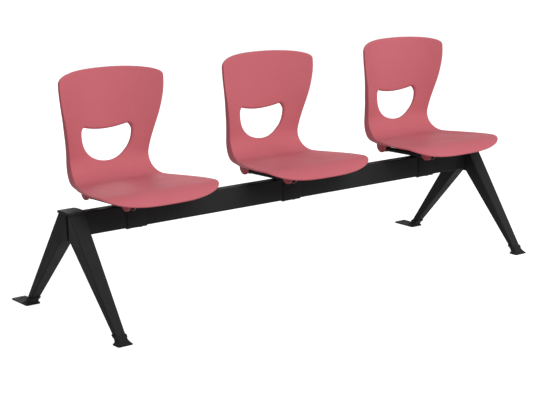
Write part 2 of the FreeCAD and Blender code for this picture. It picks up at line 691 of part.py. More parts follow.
def clip_solids():
    """The four clips as cut from sheet, still standing through the seat."""
    tube_top = TUBE_Z + TUBE_RADIUS + CLIP_FIT
    top = SEAT_Z + BEND_RADIUS / 2
    solids = []
    for y in (CLIP_REAR, CLIP_FRONT):
        for side, turn, x in ear_places():
            disc = rod(EAR_RADIUS, Vector(x, y, EAR_CENTRE_Z), Vector(x + EAR_THICKNESS, y, EAR_CENTRE_Z))
            plate = box(x, x + EAR_THICKNESS, y - EAR_RADIUS, y + EAR_RADIUS, EAR_CENTRE_Z, top)
            solids.append(disc.fuse(plate).removeSplitter())
        for side in (-1, 1):
            x = side * TUBE_SPACING / 2
            gap = TUBE_RADIUS + CLIP_FIT
            solids.append(box(x - gap, x + gap, y - SADDLE_LENGTH / 2, y + SADDLE_LENGTH / 2,
                              tube_top, top))
    return solids


def above_wall():
    """All that lies above the middle of the seat's wall, to trim the clips."""
    wires = []
    half = TUBE_SPACING
    low = SHELL_WALL / 2
    high = -TRIM_HEIGHT
    start = BACK_LENGTH + BEND_LENGTH / 3
    for s in [start] + between(start, SHELL_LENGTH, TRIM_SECTIONS):
        wires.append(Part.Wire([
            arch(s, half, low),
            Part.makeLine(skin(half, s, low), skin(half, s, high)),
            arch(s, half, high),
            Part.makeLine(skin(-half, s, high), skin(-half, s, low)),
        ]))
    return Part.makeLoft(wires, True, True)


def screw_axis(side):
    """Where a shell screw starts and ends across: head on the inner ear, tip in the outer."""
    gap = TUBE_RADIUS + CLIP_FIT
    head_face = side * (TUBE_SPACING / 2 - gap - EAR_THICKNESS)
    tip = side * (TUBE_SPACING / 2 + gap + SHELL_SCREW_BITE)
    return head_face, tip


def make_seat_shell():
    shell = shell_body().cut(shell_core())
    lip = lip_band().common(hole_tool(SHELL_WALL))
    trim = above_wall()
    clips = [solid.cut(trim) for solid in clip_solids()]
    shell = shell.fuse([lip] + clips).cut(hole_tool(0))
    bores = []
    for y in (CLIP_REAR, CLIP_FRONT):
        for side in (-1, 1):
            head_face, tip = screw_axis(side)
            bores.append(rod(SHELL_SCREW_RADIUS + SHELL_SCREW_FIT, Vector(head_face - side, y, TUBE_Z),
                             Vector(tip + side * SHELL_SCREW_FIT, y, TUBE_Z)))
    return shell.cut(bores)


def make_shell_screws():
    screws = []
    for y in (CLIP_REAR, CLIP_FRONT):
        for side in (-1, 1):
            head_face, tip = screw_axis(side)
            shank = rod(SHELL_SCREW_RADIUS, Vector(head_face, y, TUBE_Z), Vector(tip, y, TUBE_Z))
            head = rod(SHELL_SCREW_HEAD_RADIUS, Vector(head_face - side * SHELL_SCREW_HEAD, y, TUBE_Z),
                       Vector(head_face, y, TUBE_Z))
            screws.append(shank.fuse(head).removeSplitter())
    return Part.makeCompound(screws)


def write(name, shape):
    shape.exportStep("parts/" + name + ".step")
    print(name, len(shape.Solids), "solids,", round(shape.Volume), "mm3, valid:", shape.isValid())


def write_seats():
    """One seat's pieces are modelled once and repeated at each place on the beam."""
    pieces = {
        "seat_shell": make_seat_shell(),
        "seat_frame": make_seat_frame(),
        "tube_caps": make_tube_caps(),
        "beam_clamp": make_beam_clamp(),
        "clamp_bolts": make_clamp_bolts(),
        "clamp_nuts": make_clamp_nuts(),
        "shell_screws": make_shell_screws(),
    }
    for name, place in zip(SEAT_NAMES, SEAT_PLACES):
        for piece, shape in pieces.items():
            write(name + "_" + piece, shape.translated(Vector(place, 0, 0)))


def write_end_frames():
    """The right end frame is modelled and the left one is its mirror image."""
    pieces = {
        "front_leg": make_leg(-1),
        "rear_leg": make_leg(1),
        "leg_screws": make_leg_screws(),
        "top_cap": make_top_cap(),
        "front_foot": make_foot(-1),
        "rear_foot": make_foot(1),
        "beam_plug": make_beam_plug(),
    }
    for piece, shape in pieces.items():
        write("right_" + piece, shape)
        write("left_" + piece, mirrored(shape))


os.makedirs("parts", exist_ok=True)
write("beam", make_beam())
write_end_frames()
write_seats()
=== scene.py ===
# %% [markdown]
# # Beam seating: three moulded seats on one steel beam
# The construction is already done: a CAD model holds every solid at its true size. This lesson
# dresses it. The CAD parts come in as a fixed frame, and each piece is then modelled or refined in
# the same place, so that the object keeps its size.

import math

import bpy
from mathutils import Euler, Matrix, Vector, kdtree


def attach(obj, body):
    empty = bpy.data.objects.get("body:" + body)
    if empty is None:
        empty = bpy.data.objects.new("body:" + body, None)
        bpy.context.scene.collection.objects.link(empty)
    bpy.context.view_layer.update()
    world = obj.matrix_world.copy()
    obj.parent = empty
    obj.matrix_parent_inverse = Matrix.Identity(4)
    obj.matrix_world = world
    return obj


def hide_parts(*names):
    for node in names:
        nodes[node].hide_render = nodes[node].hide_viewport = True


MM = 0.001

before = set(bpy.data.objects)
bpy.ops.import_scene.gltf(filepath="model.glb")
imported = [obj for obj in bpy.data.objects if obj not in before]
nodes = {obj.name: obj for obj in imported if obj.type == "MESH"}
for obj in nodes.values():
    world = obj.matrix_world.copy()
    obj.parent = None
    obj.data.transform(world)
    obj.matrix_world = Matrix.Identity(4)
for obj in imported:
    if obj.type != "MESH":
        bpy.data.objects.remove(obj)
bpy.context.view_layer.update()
bpy.ops.object.select_all(action="DESELECT")

# %% [markdown]
# The camera comes first, because everything is judged through it. A long lens stands five and a
# half metres off, ahead of the bench's left end and a little over it, and looks slightly down. It
# could be set by eye; its place and turn were worked out from the perspective of the beam and the
# four feet instead, so that shapes can be compared edge by edge.

# %% Camera
LENS = 102.43
SENSOR = 36.0
CAMERA_PLACE = (-3.433, -4.293, 1.533)
CAMERA_TURN = 38.115
CAMERA_TILT = 12.77
CAMERA_ROLL = 0.17


def add_camera():
    bpy.ops.object.camera_add(location=CAMERA_PLACE)
    camera = bpy.context.object
    camera.name = "photo_camera"
    camera.data.lens = LENS
    camera.data.sensor_width = SENSOR
    aim = Euler((math.radians(90 - CAMERA_TILT), 0, math.radians(-CAMERA_TURN))).to_matrix()
    roll = Matrix.Rotation(math.radians(-CAMERA_ROLL), 3, "Z")
    camera.rotation_euler = (aim @ roll).to_euler()
    camera.data.clip_end = 100
    bpy.context.scene.camera = camera
    return camera


bpy.context.scene.view_settings.view_transform = "Standard"
camera = add_camera()
print("camera", camera.name, "lens", camera.data.lens)

# %% [markdown]
# The room is a white cyclorama. A plain white world would give the background, but its light would
# come so strongly from all sides that the shades wash out. Light Path nodes part the two: the
# camera and the reflections see clean white, while the object is lit by a dimmer fill.

# %% White world
FILL_STRENGTH = 0.47
WHITE = (1, 1, 1, 1)


def link(tree, source, target):
    tree.links.new(source, target)


def add_node(tree, kind, **settings):
    node = tree.nodes.new(kind)
    for key, value in settings.items():
        setattr(node, key, value)
    return node


def set_inputs(node, values):
    for name, value in values.items():
        node.inputs[name].default_value = value


def seen_directly(tree):
    """1 for rays from the camera, from a mirror or through glass, and 0 for the light itself."""
    path = add_node(tree, "ShaderNodeLightPath")
    seen = path.outputs["Is Camera Ray"]
    for ray in ("Is Glossy Ray", "Is Transmission Ray"):
        larger = add_node(tree, "ShaderNodeMath", operation="MAXIMUM")
        link(tree, seen, larger.inputs[0])
        link(tree, path.outputs[ray], larger.inputs[1])
        seen = larger.outputs[0]
    return seen


def white_world():
    world = bpy.data.worlds.new("studio_world")
    world.use_nodes = True
    bpy.context.scene.world = world
    tree = world.node_tree
    fill = tree.nodes["Background"]
    set_inputs(fill, {"Color": WHITE, "Strength": FILL_STRENGTH})
    backdrop = add_node(tree, "ShaderNodeBackground")
    set_inputs(backdrop, {"Color": WHITE})
    mix = add_node(tree, "ShaderNodeMixShader")
    link(tree, seen_directly(tree), mix.inputs[0])
    link(tree, fill.outputs[0], mix.inputs[1])
    link(tree, backdrop.outputs[0], mix.inputs[2])
    link(tree, mix.outputs[0], tree.nodes["World Output"].inputs["Surface"])


white_world()
print("world", bpy.context.scene.world.name)

# %% [markdown]
# The floor is one large white plane. A pure white one would still show its horizon, so this one
# glows for the camera, by the same nodes, and melts into the backdrop. Its own white is greyer,
# and it darkens a little where the bench shades it. It belongs to the stage, not to the object.

# %% Floor
FLOOR_WHITE = 0.5
FLOOR_GLOW = 0.8
FLOOR_ROUGHNESS = 0.9
FLOOR_SIZE = 60.0
FLOOR_GAP = 0.0005


def grey(level):
    return (level, level, level, 1)


def new_material(name):
    """A material with its node tree and its main shader."""
    material = bpy.data.materials.new(name)
    material.use_nodes = True
    return material, material.node_tree, material.node_tree.nodes["Principled BSDF"]


def white_floor():
    bpy.ops.mesh.primitive_plane_add(size=FLOOR_SIZE, location=(0, 0, -FLOOR_GAP))
    floor = bpy.context.object
    floor.name = "studio_floor"
    material, tree, shader = new_material("floor_white")
    set_inputs(shader, {"Base Color": grey(FLOOR_WHITE), "Roughness": FLOOR_ROUGHNESS,
                        "Specular IOR Level": 0, "Emission Color": grey(FLOOR_GLOW)})
    link(tree, seen_directly(tree), shader.inputs["Emission Strength"])
    floor.data.materials.append(material)


white_floor()
print("floor", FLOOR_SIZE, "m wide")

# %% [markdown]
# Three round lamps look at the middle of the bench. The strongest stands ahead of it and well
# above it, so that backs and pans are bright, the turned edges at the sides darker and the inner
# faces of the legs darkest. Weak ones to the right and behind show the far sides. The lamps are
# large, because small ones would draw the hard shadows that a studio avoids.

# %% Lamps
BENCH_MIDDLE = (0, 0, 0.5)
LAMP_SIZE = 3.0


def add_lamp(name, place, power):
    bpy.ops.object.light_add(type="AREA", location=place)
    lamp = bpy.context.object
    lamp.name = name
    lamp.data.shape = "DISK"
    lamp.data.size = LAMP_SIZE
    lamp.data.energy = power
    lamp.rotation_euler = (Vector(place) - Vector(BENCH_MIDDLE)).to_track_quat("Z", "Y").to_euler()


add_lamp("front_lamp", (-0.6, -4.6, 3.5), 205)
add_lamp("right_lamp", (4.5, -3.5, 2.2), 70)
add_lamp("rear_lamp", (0.8, 4.8, 2.6), 70)

# %% [markdown]
# Moulded plastic is never one flat colour. The seats are a matt polypropylene with a spark-eroded
# grain: a very fine bump, a breath of lighter and darker pigment, and roughness that wanders where
# hands polish it. Pictures of a surface would have to be unwrapped and would repeat. Noise on
# Object coordinates does neither, and its scale follows the real size.

# %% A grained material
RAMP_ENDS = (0.35, 0.65)
PATCHES_PER_CLOUD = 4


def noise(tree, coordinates, scale, detail):
    node = add_node(tree, "ShaderNodeTexNoise")
    set_inputs(node, {"Scale": scale, "Detail": detail})
    link(tree, coordinates, node.inputs["Vector"])
    return node.outputs["Fac"]


def ramp(tree, value, low, high):
    """Maps a noise value to a range between two colours or two grey levels."""
    node = add_node(tree, "ShaderNodeValToRGB")
    for element, position, colour in zip(node.color_ramp.elements, RAMP_ENDS, (low, high)):
        element.position = position
        element.color = colour
    link(tree, value, node.inputs["Fac"])
    return node.outputs["Color"]


def grained_material(name, dark, light, roughness, gloss, grain, grain_height, metallic=0.0, cloud=3.0):
    """Colour clouds, roughness clouds and a fine surface grain, all from noise in metres."""
    material, tree, shader = new_material(name)
    set_inputs(shader, {"Metallic": metallic, "Specular IOR Level": gloss})
    coordinates = add_node(tree, "ShaderNodeTexCoord").outputs["Object"]
    clouds = noise(tree, coordinates, cloud, detail=4)
    link(tree, ramp(tree, clouds, dark, light), shader.inputs["Base Color"])
    patches = noise(tree, coordinates, cloud * PATCHES_PER_CLOUD, detail=3)
    link(tree, ramp(tree, patches, *(grey(level) for level in roughness)), shader.inputs["Roughness"])
    fine = noise(tree, coordinates, grain, detail=2)
    bump = add_node(tree, "ShaderNodeBump")
    set_inputs(bump, {"Strength": 1, "Distance": grain_height})
    link(tree, fine, bump.inputs["Height"])
    link(tree, bump.outputs["Normal"], shader.inputs["Normal"])
    return material


print("ramps run over", RAMP_ENDS, "of the noise")

# %% [markdown]
# Four finishes dress the bench: rose plastic for the shells, powder coat on the beam, the legs,
# the seat frames and the clamps, nylon for the boots, caps and plugs, and zinc on every bolt, nut
# and screw. Each colour is a pair of near shades, written as a screen shows them.

# %% Finishes
def linear(red, green, blue):
    """A colour as read off a screen, 0 to 255, turned into the linear light that shaders use."""
    values = []
    for value in (red, green, blue):
        share = value / 255
        values.append(share / 12.92 if share <= 0.04045 else ((share + 0.055) / 1.055) ** 2.4)
    return (*values, 1)


finishes = {
    "seat_plastic": grained_material(
        "seat_polypropylene", linear(181, 94, 102), linear(187, 99, 108), roughness=(0.52, 0.62),
        gloss=0.1, grain=900, grain_height=0.00006),
    "black_metal": grained_material(
        "black_powder_coat", linear(38, 38, 39), linear(44, 44, 45), roughness=(0.45, 0.58),
        gloss=0.02, grain=1400, grain_height=0.00005),
    "black_plastic": grained_material(
        "black_nylon", linear(34, 34, 35), linear(40, 40, 41), roughness=(0.48, 0.60),
        gloss=0.03, grain=1100, grain_height=0.00005),
    "zinc_steel": grained_material(
        "zinc_plated_steel", linear(150, 152, 150), linear(178, 179, 176), roughness=(0.28, 0.42),
        gloss=0.5, grain=2500, grain_height=0.00001, metallic=1.0, cloud=60.0),
}
print("finishes", sorted(finishes))

# %% [markdown]
# Every finished piece takes its finish, rides on the one body that the bench has, and stands for
# the CAD part that it replaces. Much of a bench repeats along its beam. Linked copies would share
# one mesh, but here each copy gets its own and is moved inside it, so that every object stays at
# the origin and the grain runs on from piece to piece.

# %% Hang a piece on the frame
SMOOTH_ANGLE = math.radians(32)


def select_only(*pieces):
    bpy.ops.object.select_all(action="DESELECT")
    for piece in pieces:
        piece.select_set(True)
    bpy.context.view_layer.objects.active = pieces[-1]


def smooth(piece):
    select_only(piece)
    bpy.ops.object.shade_smooth_by_angle(angle=SMOOTH_ANGLE)
    return piece


def moved(piece, change):
    """Moves the mesh itself, so that the object stays unmoved at the origin."""
    piece.data.transform(change)
    piece.data.update()
    return piece


def join(*pieces):
    """Makes one mesh of several, and keeps the last one's object."""
    select_only(*pieces)
    bpy.ops.object.join()
    return bpy.context.object


def finish_piece(piece, slot, *replaced):
    """Gives a piece its finish, hangs it on the frame and hides the CAD parts it stands for."""
    piece.data.materials.clear()
    piece.data.materials.append(finishes[slot])
    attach(piece, "root")
    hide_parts(*replaced)
    return piece


def hang_copies(pattern, slot, places):
    """Each node named gets its own copy of a pattern, shifted along the beam."""
    smooth(pattern)
    for node, x in places.items():
        piece = bpy.data.objects.new(node + "_dressed", pattern.data.copy())
        bpy.context.scene.collection.objects.link(piece)
        finish_piece(moved(piece, Matrix.Translation((x * MM, 0, 0))), slot, node)
    print("hung", ", ".join(places), "of", len(pattern.data.polygons), "faces")
    bpy.data.objects.remove(pattern)


print("CAD parts to dress", len(nodes))

# %% [markdown]
# Most fittings are rings on rings. Spinning a profile would make the round ones only, so all of
# them are raised the same way: a circle takes the shape of the first ring, its edge is extruded
# from ring to ring, and the last ring is filled.

# %% Raise a form from rings
MERGE_DISTANCE = 0.00001


def place_ring(piece, old, new):
    """Moves the vertices of an extruded edge loop from their old ring to the new one."""
    tree = kdtree.KDTree(len(old))
    for index, point in enumerate(old):
        tree.insert(point, index)
    tree.balance()
    bpy.ops.object.mode_set(mode="OBJECT")
    for vertex in piece.data.vertices:
        if vertex.select:
            _, index, _ = tree.find(vertex.co)
            vertex.co = new[index]
    bpy.ops.object.mode_set(mode="EDIT")


def extend(piece, rings):
    """Extrudes the selected loop through a list of rings, given in metres."""
    for old, new in zip(rings, rings[1:]):
        bpy.ops.mesh.extrude_edges_move()
        place_ring(piece, old, new)


def start_ring(ring, filling):
    """A circle shaped as the ring, in edit mode and with its edges selected."""
    bpy.ops.object.select_all(action="DESELECT")
    bpy.ops.mesh.primitive_circle_add(vertices=len(ring), radius=1, fill_type=filling)
    piece = bpy.context.object
    for vertex, point in zip(piece.data.vertices, ring):
        vertex.co = point
    piece.data.update()
    bpy.ops.object.mode_set(mode="EDIT")
    bpy.ops.mesh.select_mode(type="EDGE")
    bpy.ops.mesh.select_all(action="SELECT")
    return piece


def raise_rings(rings, closed=False):
    """Extrudes a filled circle through the rings.

    Where the form is closed, as a nut is, nothing is filled and the last ring meets the first.
    """
    piece = start_ring(rings[0], "NOTHING" if closed else "NGON")
    if closed:
        extend(piece, rings + rings[:1])
        bpy.ops.mesh.select_all(action="SELECT")
        bpy.ops.mesh.remove_doubles(threshold=MERGE_DISTANCE)
    else:
        extend(piece, rings)
        bpy.ops.mesh.edge_face_add()
    bpy.ops.mesh.select_all(action="SELECT")
    bpy.ops.mesh.normals_make_consistent(inside=False)
    bpy.ops.object.mode_set(mode="OBJECT")
    return piece


print("points nearer than", MERGE_DISTANCE, "m are merged")

# %% [markdown]
# The forms then differ only in how their rings run: rounded rectangles for what is moulded round
# a leg, circles and hexagons for what is turned or headed. All are modelled at the middle of the
# bench and then copied to their places along the beam.

# %% Rings and places
BEAM_Y = -35.0
BEAM_TOP = 380.0
LEG_X = 918.5
SEAT_PITCH = 675.0
SEATS = ("left", "middle", "right")
CORNER_STEPS = 6
AROUND = 24
HEXAGON = 6


def shares(count, first=0):
    """Even shares of a whole, up to 1 itself."""
    return [step / count for step in range(first, count + 1)]


def rounded_ring(width, depth, radius, y, z):
    """Points round a level rectangle with round corners, centred over the beam's line plus y."""
    ring = []
    for quarter, (side_x, side_y) in enumerate(((1, 1), (-1, 1), (-1, -1), (1, -1))):
        for share in shares(CORNER_STEPS):
            turn = math.pi / 2 * (quarter + share)
            out_x = side_x * (width / 2 - radius) + radius * math.cos(turn)
            out_y = side_y * (depth / 2 - radius) + radius * math.sin(turn)
            ring.append(Vector((out_x, BEAM_Y + y + out_y, z)) * MM)
    return ring


def turned_ring(z, radius, sides=0):
    """Points round the Z axis; six sides make a hexagon whose flats lie at the radius."""
    ring = []
    for step in range(AROUND):
        turn = 2 * math.pi * step / AROUND
        reach = radius
        if sides:
            wedge = math.pi / sides
            reach = radius / math.cos((turn + wedge) % (2 * wedge) - wedge)
        ring.append(Vector((reach * math.cos(turn), reach * math.sin(turn), z)) * MM)
    return ring


def turned(steps, closed=False):
    return raise_rings([turned_ring(*step) for step in steps], closed)


def shift(x, y, z):
    """A move of so many millimetres from the floor under the middle of the beam."""
    return Matrix.Translation(Vector((x, BEAM_Y + y, z)) * MM)


def at_ends(part, x=LEG_X):
    return {"left_" + part: -x, "right_" + part: x}


def at_seats(part):
    return {side + "_" + part: (number - 1) * SEAT_PITCH for number, side in enumerate(SEATS)}


print("left and right ends at", at_ends("leg"))

# %% [markdown]
# Each leg stands in a boot. The boot's inside is the leg's own shape with a little room, so the
# rings round the leg come first. They follow its slant and can spread out to the sole, which gives
# the flare.

# %% Rings round a leg
LEG_TOP_OUTER = 35.5
LEG_FOOT_OUTER = 308.0
LEG_FOOT_INNER = 286.5
LEG_INNER_SLOPE = 0.9
LEG_FOOT_WIDTH = 35.4
LEG_TOP_WIDTH = 59.5
LEG_EDGE = 5.0
FRONT_REACH = 314.5
SOLE_WIDTH = 57.0
SOLE_DEPTH = 39.0
FLARE_LEDGE = 1.5


def leg_ring(z, grow, spread=0.0):
    """A ring round the slanting rear leg, which spreads to the sole as spread goes to 1."""
    share = z / BEAM_TOP
    outer = LEG_FOOT_OUTER + (LEG_TOP_OUTER - LEG_FOOT_OUTER) * share
    inner = LEG_FOOT_INNER - LEG_INNER_SLOPE * z
    width = LEG_FOOT_WIDTH + (LEG_TOP_WIDTH - LEG_FOOT_WIDTH) * share + 2 * grow
    depth = outer - inner + 2 * grow
    y = (outer + inner) / 2
    width += (SOLE_WIDTH - 2 * FLARE_LEDGE - width) * spread
    depth += (SOLE_DEPTH - 2 * FLARE_LEDGE - depth) * spread
    y += (FRONT_REACH - SOLE_DEPTH / 2 - y) * spread
    return rounded_ring(width, depth, LEG_EDGE + grow * (1 - spread), y, z)


print("a leg's ring has", len(leg_ring(0, 0)), "points")

# %% [markdown]
# Two more jobs come back on several pieces. Moulded flanks have sunk panels that save plastic: an
# inset with a depth makes them, on faces picked by their place or normal. Holes are cut with a
# cylinder and a Boolean, which leaves the rest of the mesh alone.

# %% Sunk panels and drilled holes
DRILL_LENGTH = 20.0


def select_faces(piece, wanted):
    """Selects the faces that pass the test, in edit mode."""
    bpy.ops.mesh.select_all(action="DESELECT")
    bpy.ops.object.mode_set(mode="OBJECT")
    for face in piece.data.polygons:
        face.select = wanted(face)
    bpy.ops.object.mode_set(mode="EDIT")


def sink_panels(piece, wanted, rim, sink, each=True):
    """Insets the faces that pass the test, each by itself or as one panel, and sinks them."""
    select_only(piece)
    bpy.ops.object.mode_set(mode="EDIT")
    bpy.ops.mesh.select_mode(type="FACE")
    select_faces(piece, wanted)
    bpy.ops.mesh.inset(thickness=rim * MM, depth=-sink * MM, use_individual=each)
    bpy.ops.object.mode_set(mode="OBJECT")


def apply_modifier(piece, kind, **settings):
    """Gives a piece a modifier with these settings and makes its result the mesh."""
    select_only(piece)
    modifier = piece.modifiers.new(kind.lower(), kind)
    for key, value in settings.items():
        setattr(modifier, key, value)
    bpy.ops.object.modifier_apply(modifier=modifier.name)


def drill(piece, radius, place):
    """Cuts an upright round hole with a cylinder that is thrown away afterwards."""
    bpy.ops.mesh.primitive_cylinder_add(vertices=AROUND, radius=radius * MM, depth=DRILL_LENGTH * MM,
                                        location=Vector(place) * MM)
    cutter = bpy.context.object
    apply_modifier(piece, "BOOLEAN", operation="DIFFERENCE", object=cutter)
    bpy.data.objects.remove(cutter)


print("holes up to", DRILL_LENGTH, "mm deep")

# %% [markdown]
# The boots are moulded nylon. From the sole the rings rise in a hollow flare to a rim round the
# leg, turn over it and go down inside, where the leg stands on the last ring. The rear boots run
# on behind as a plate with a hole for a floor anchor. The front boots end at the flare, so one
# function models both kinds by their reach, and the front one is then mirrored to its side.

# %% Boots
REAR_REACH = 384.5
SOLE_HEIGHT = 5.0
SOLE_CORNER = 6.0
SOLE_BREAK = 1.0
FLARE_STEPS = 9
FLARE_POWER = 3.0
COLLAR_WALL = 2.3
COLLAR_RIM = 4.0
COLLAR_TOP = 30.0
RIM_HEIGHT = 8.0
RIM_BREAK = 0.7
FLARE_TOP = COLLAR_TOP - RIM_HEIGHT
LEG_FIT = 0.2
LEG_STANDS_AT = 4.0
PANEL_START = 3.0
PANEL_RIM = 1.5
PANEL_SINK = 0.8
PANEL_FACING = 0.6
FLOOR_HOLE = 5.0
FLOOR_HOLE_SETBACK = 22.5


def on_flank(face):
    """Whether a face lies on the outside of the flare, to the left or the right."""
    x, _, z = face.center / MM
    outside = abs(face.normal.x) > PANEL_FACING and x * face.normal.x > 0
    return outside and SOLE_HEIGHT + PANEL_START < z < FLARE_TOP and len(face.vertices) == 4


def model_boot(reach):
    """A boot behind the beam, as far back as it reaches."""
    inner = FRONT_REACH - SOLE_DEPTH
    rings = []
    sole = ((0, SOLE_BREAK), (SOLE_BREAK, 0), (SOLE_HEIGHT - SOLE_BREAK, 0), (SOLE_HEIGHT, SOLE_BREAK))
    for z, inset in sole:
        rings.append(rounded_ring(SOLE_WIDTH - 2 * inset, reach - inner - 2 * inset, SOLE_CORNER - inset,
                                  (reach + inner) / 2, z))
    for share in shares(FLARE_STEPS):
        z = SOLE_HEIGHT + (FLARE_TOP - SOLE_HEIGHT) * share
        rings.append(leg_ring(z, COLLAR_WALL, (1 - share) ** FLARE_POWER))
    collar = ((FLARE_TOP + RIM_BREAK, COLLAR_RIM), (COLLAR_TOP - RIM_BREAK, COLLAR_RIM),
              (COLLAR_TOP, COLLAR_RIM - RIM_BREAK), (COLLAR_TOP, LEG_FIT), (LEG_STANDS_AT, LEG_FIT))
    rings += [leg_ring(z, grow) for z, grow in collar]
    boot = raise_rings(rings)
    sink_panels(boot, on_flank, PANEL_RIM, PANEL_SINK, each=False)
    return boot


rear_boot = model_boot(REAR_REACH)
drill(rear_boot, FLOOR_HOLE, (0, BEAM_Y + REAR_REACH - FLOOR_HOLE_SETBACK, SOLE_HEIGHT / 2))
front_boot = model_boot(FRONT_REACH)
moved(front_boot, Matrix.Translation((0, 2 * BEAM_Y * MM, 0)) @ Matrix.Scale(-1, 4, (0, 1, 0)))
front_boot.data.flip_normals()
hang_copies(rear_boot, "black_plastic", at_ends("rear_foot"))
hang_copies(front_boot, "black_plastic", at_ends("front_foot"))

# %% [markdown]
# A cap closes the top of each end frame. Its lid is crowned from front to back: a flat face can't
# bend, so cuts across the lid give it points to bend at. Four pegs under it drop into the legs.

# %% Top caps
CAP_LENGTH = 67.0
CAP_DEPTH = 78.0
CAP_HEIGHT = 10.0
CAP_CORNER = 6.0
CAP_CROWN = 2.5
CAP_CUTS = 12
CAP_STEPS = ((0, 0.6), (0.6, 0), (8.2, 0), (9.2, 0.4), (9.8, 1.2), (CAP_HEIGHT, 2.2))
PEG_RADIUS = 2.5
PEG_LENGTH = 6.0
PEG_BREAK = 0.5
PEG_PLACES = (15.0, 27.75)


def cut_across(axis, places):
    """Cuts all that isn't hidden with planes square to an axis, at places in millimetres."""
    normal = [0, 0, 0]
    normal[axis] = 1
    for place in places:
        bpy.ops.mesh.select_all(action="SELECT")
        bpy.ops.mesh.bisect(plane_co=[part * place * MM for part in normal], plane_no=normal)


def model_lid():
    rings = []
    for z, inset in CAP_STEPS:
        rings.append(rounded_ring(CAP_LENGTH - 2 * inset, CAP_DEPTH - 2 * inset, CAP_CORNER - inset, 0,
                                  BEAM_TOP + z))
    lid = raise_rings(rings)
    bpy.ops.object.mode_set(mode="EDIT")
    cut_across(1, [BEAM_Y + CAP_DEPTH * (share - 0.5) for share in shares(CAP_CUTS, 1)[:-1]])
    bpy.ops.object.mode_set(mode="OBJECT")
    for vertex in lid.data.vertices:
        if vertex.co.z > (BEAM_TOP + CAP_HEIGHT / 2) * MM:
            share = (vertex.co.y / MM - BEAM_Y) / (CAP_DEPTH / 2)
            vertex.co.z -= CAP_CROWN * share * share * MM
    return lid


def model_cap():
    steps = ((-PEG_LENGTH, PEG_RADIUS - PEG_BREAK), (PEG_BREAK - PEG_LENGTH, PEG_RADIUS), (0, PEG_RADIUS))
    lid = model_lid()
    pegs = []
    for side_x in (-1, 1):
        for side_y in (-1, 1):
            place = shift(side_x * PEG_PLACES[0], side_y * PEG_PLACES[1], BEAM_TOP)
            pegs.append(moved(turned(steps), place))
    return join(*pegs, lid)


hang_copies(model_cap(), "black_plastic", at_ends("top_cap"))

# %% [markdown]
# Each seat stands on a small weldment of two tubes and a cross plate. The tubes slope down a
# little to the rear. A cylinder has no bore, so a tube is raised as a closed form: outside, end
# face, bore and end face again. It is modelled upright, laid back and set on its own sloping axis.

# %% Frame tubes
TUBE_SIDE = 120.0
TUBE_RADIUS = 9.0
TUBE_BORE = 7.0
TUBE_Z = 409.0
TUBE_ENDS = (-180.0, 107.0)
TUBE_TILT = 1.4
TUBE_BREAK = 0.4
TO_THE_REAR = Matrix.Rotation(math.radians(-90), 4, "X")


def tube_height(y):
    """The tubes slope down to the rear a little, so the height of their axis depends on y."""
    return TUBE_Z - math.tan(math.radians(TUBE_TILT)) * (y - sum(TUBE_ENDS) / 2)


def along_the_tube(piece, x, y):
    """Sets a piece modelled on the Z axis on the sloping tube's own axis."""
    slope = Matrix.Rotation(math.radians(-TUBE_TILT), 4, "X")
    return moved(piece, shift(x, y, tube_height(y)) @ slope @ TO_THE_REAR)


def pipe_steps(low, high, outer, outer_break, bore, bore_break, sides=0):
    """Up the outside and down the bore of a turned piece, with all its edges broken."""
    outside = ((low, outer - outer_break), (low + outer_break, outer, sides),
               (high - outer_break, outer, sides), (high, outer - outer_break))
    inside = ((high, bore + bore_break), (high - bore_break, bore), (low + bore_break, bore),
              (low, bore + bore_break))
    return outside + inside


def model_tube(side):
    middle = sum(TUBE_ENDS) / 2
    half = TUBE_ENDS[1] - middle
    steps = pipe_steps(-half, half, TUBE_RADIUS, TUBE_BREAK, TUBE_BORE, TUBE_BREAK)
    return along_the_tube(turned(steps, closed=True), side * TUBE_SIDE, middle)


print("tube axis from", [round(tube_height(y), 2) for y in TUBE_ENDS], "mm up")

# %% [markdown]
# The plate is pressed from thick sheet: level over the beam, then rising to the tubes in soft
# bends. It could be a box bent by hand, but its own outline, extruded from front to back, is exact
# all along. Its sharp edges are broken with a bevel, as a file would.

# %% Cross plate
PLATE_HALF_WIDTH = 25.0
PLATE_THICKNESS = 4.0
PLATE_BEND_AT = 40.0
PLATE_BEND_REACH = 8.0
PLATE_BEND_STEPS = 6
PLATE_SLOPE = 0.25
PLATE_BREAK = 0.6
BOLT_SIDE = 25.0
BOLT_HOLE = 4.5
BREAK_ANGLE = 40.0


def break_edges(piece, width, angle=BREAK_ANGLE):
    """Bevels the edges that turn more sharply than the angle."""
    apply_modifier(piece, "BEVEL", width=width * MM, segments=2, limit_method="ANGLE",
                   angle_limit=math.radians(angle))


def drill_bolt_holes(piece, z):
    for side in (-1, 1):
        drill(piece, BOLT_HOLE, (side * BOLT_SIDE, BEAM_Y, z))
    return piece


def plate_rise(x):
    """The underside of the plate over the beam: level, then a soft bend, then a steady slope."""
    past = abs(x) - PLATE_BEND_AT + PLATE_BEND_REACH
    if past <= 0:
        return 0.0
    if past < 2 * PLATE_BEND_REACH:
        return PLATE_SLOPE * past * past / (4 * PLATE_BEND_REACH)
    return PLATE_SLOPE * (past - PLATE_BEND_REACH)


def model_plate():
    bend = [PLATE_BEND_AT + PLATE_BEND_REACH * (2 * share - 1) for share in shares(PLATE_BEND_STEPS)]
    across = [-TUBE_SIDE] + [-x for x in reversed(bend)] + bend + [TUBE_SIDE]
    outline = [(x, BEAM_TOP + plate_rise(x)) for x in across]
    outline += [(x, z + PLATE_THICKNESS) for x, z in reversed(outline)]
    edges = (BEAM_Y - PLATE_HALF_WIDTH, BEAM_Y + PLATE_HALF_WIDTH)
    rings = [[Vector((x, y, z)) * MM for x, z in outline] for y in edges]
    plate = raise_rings(rings)
    break_edges(plate, PLATE_BREAK)
    return drill_bolt_holes(plate, BEAM_TOP)


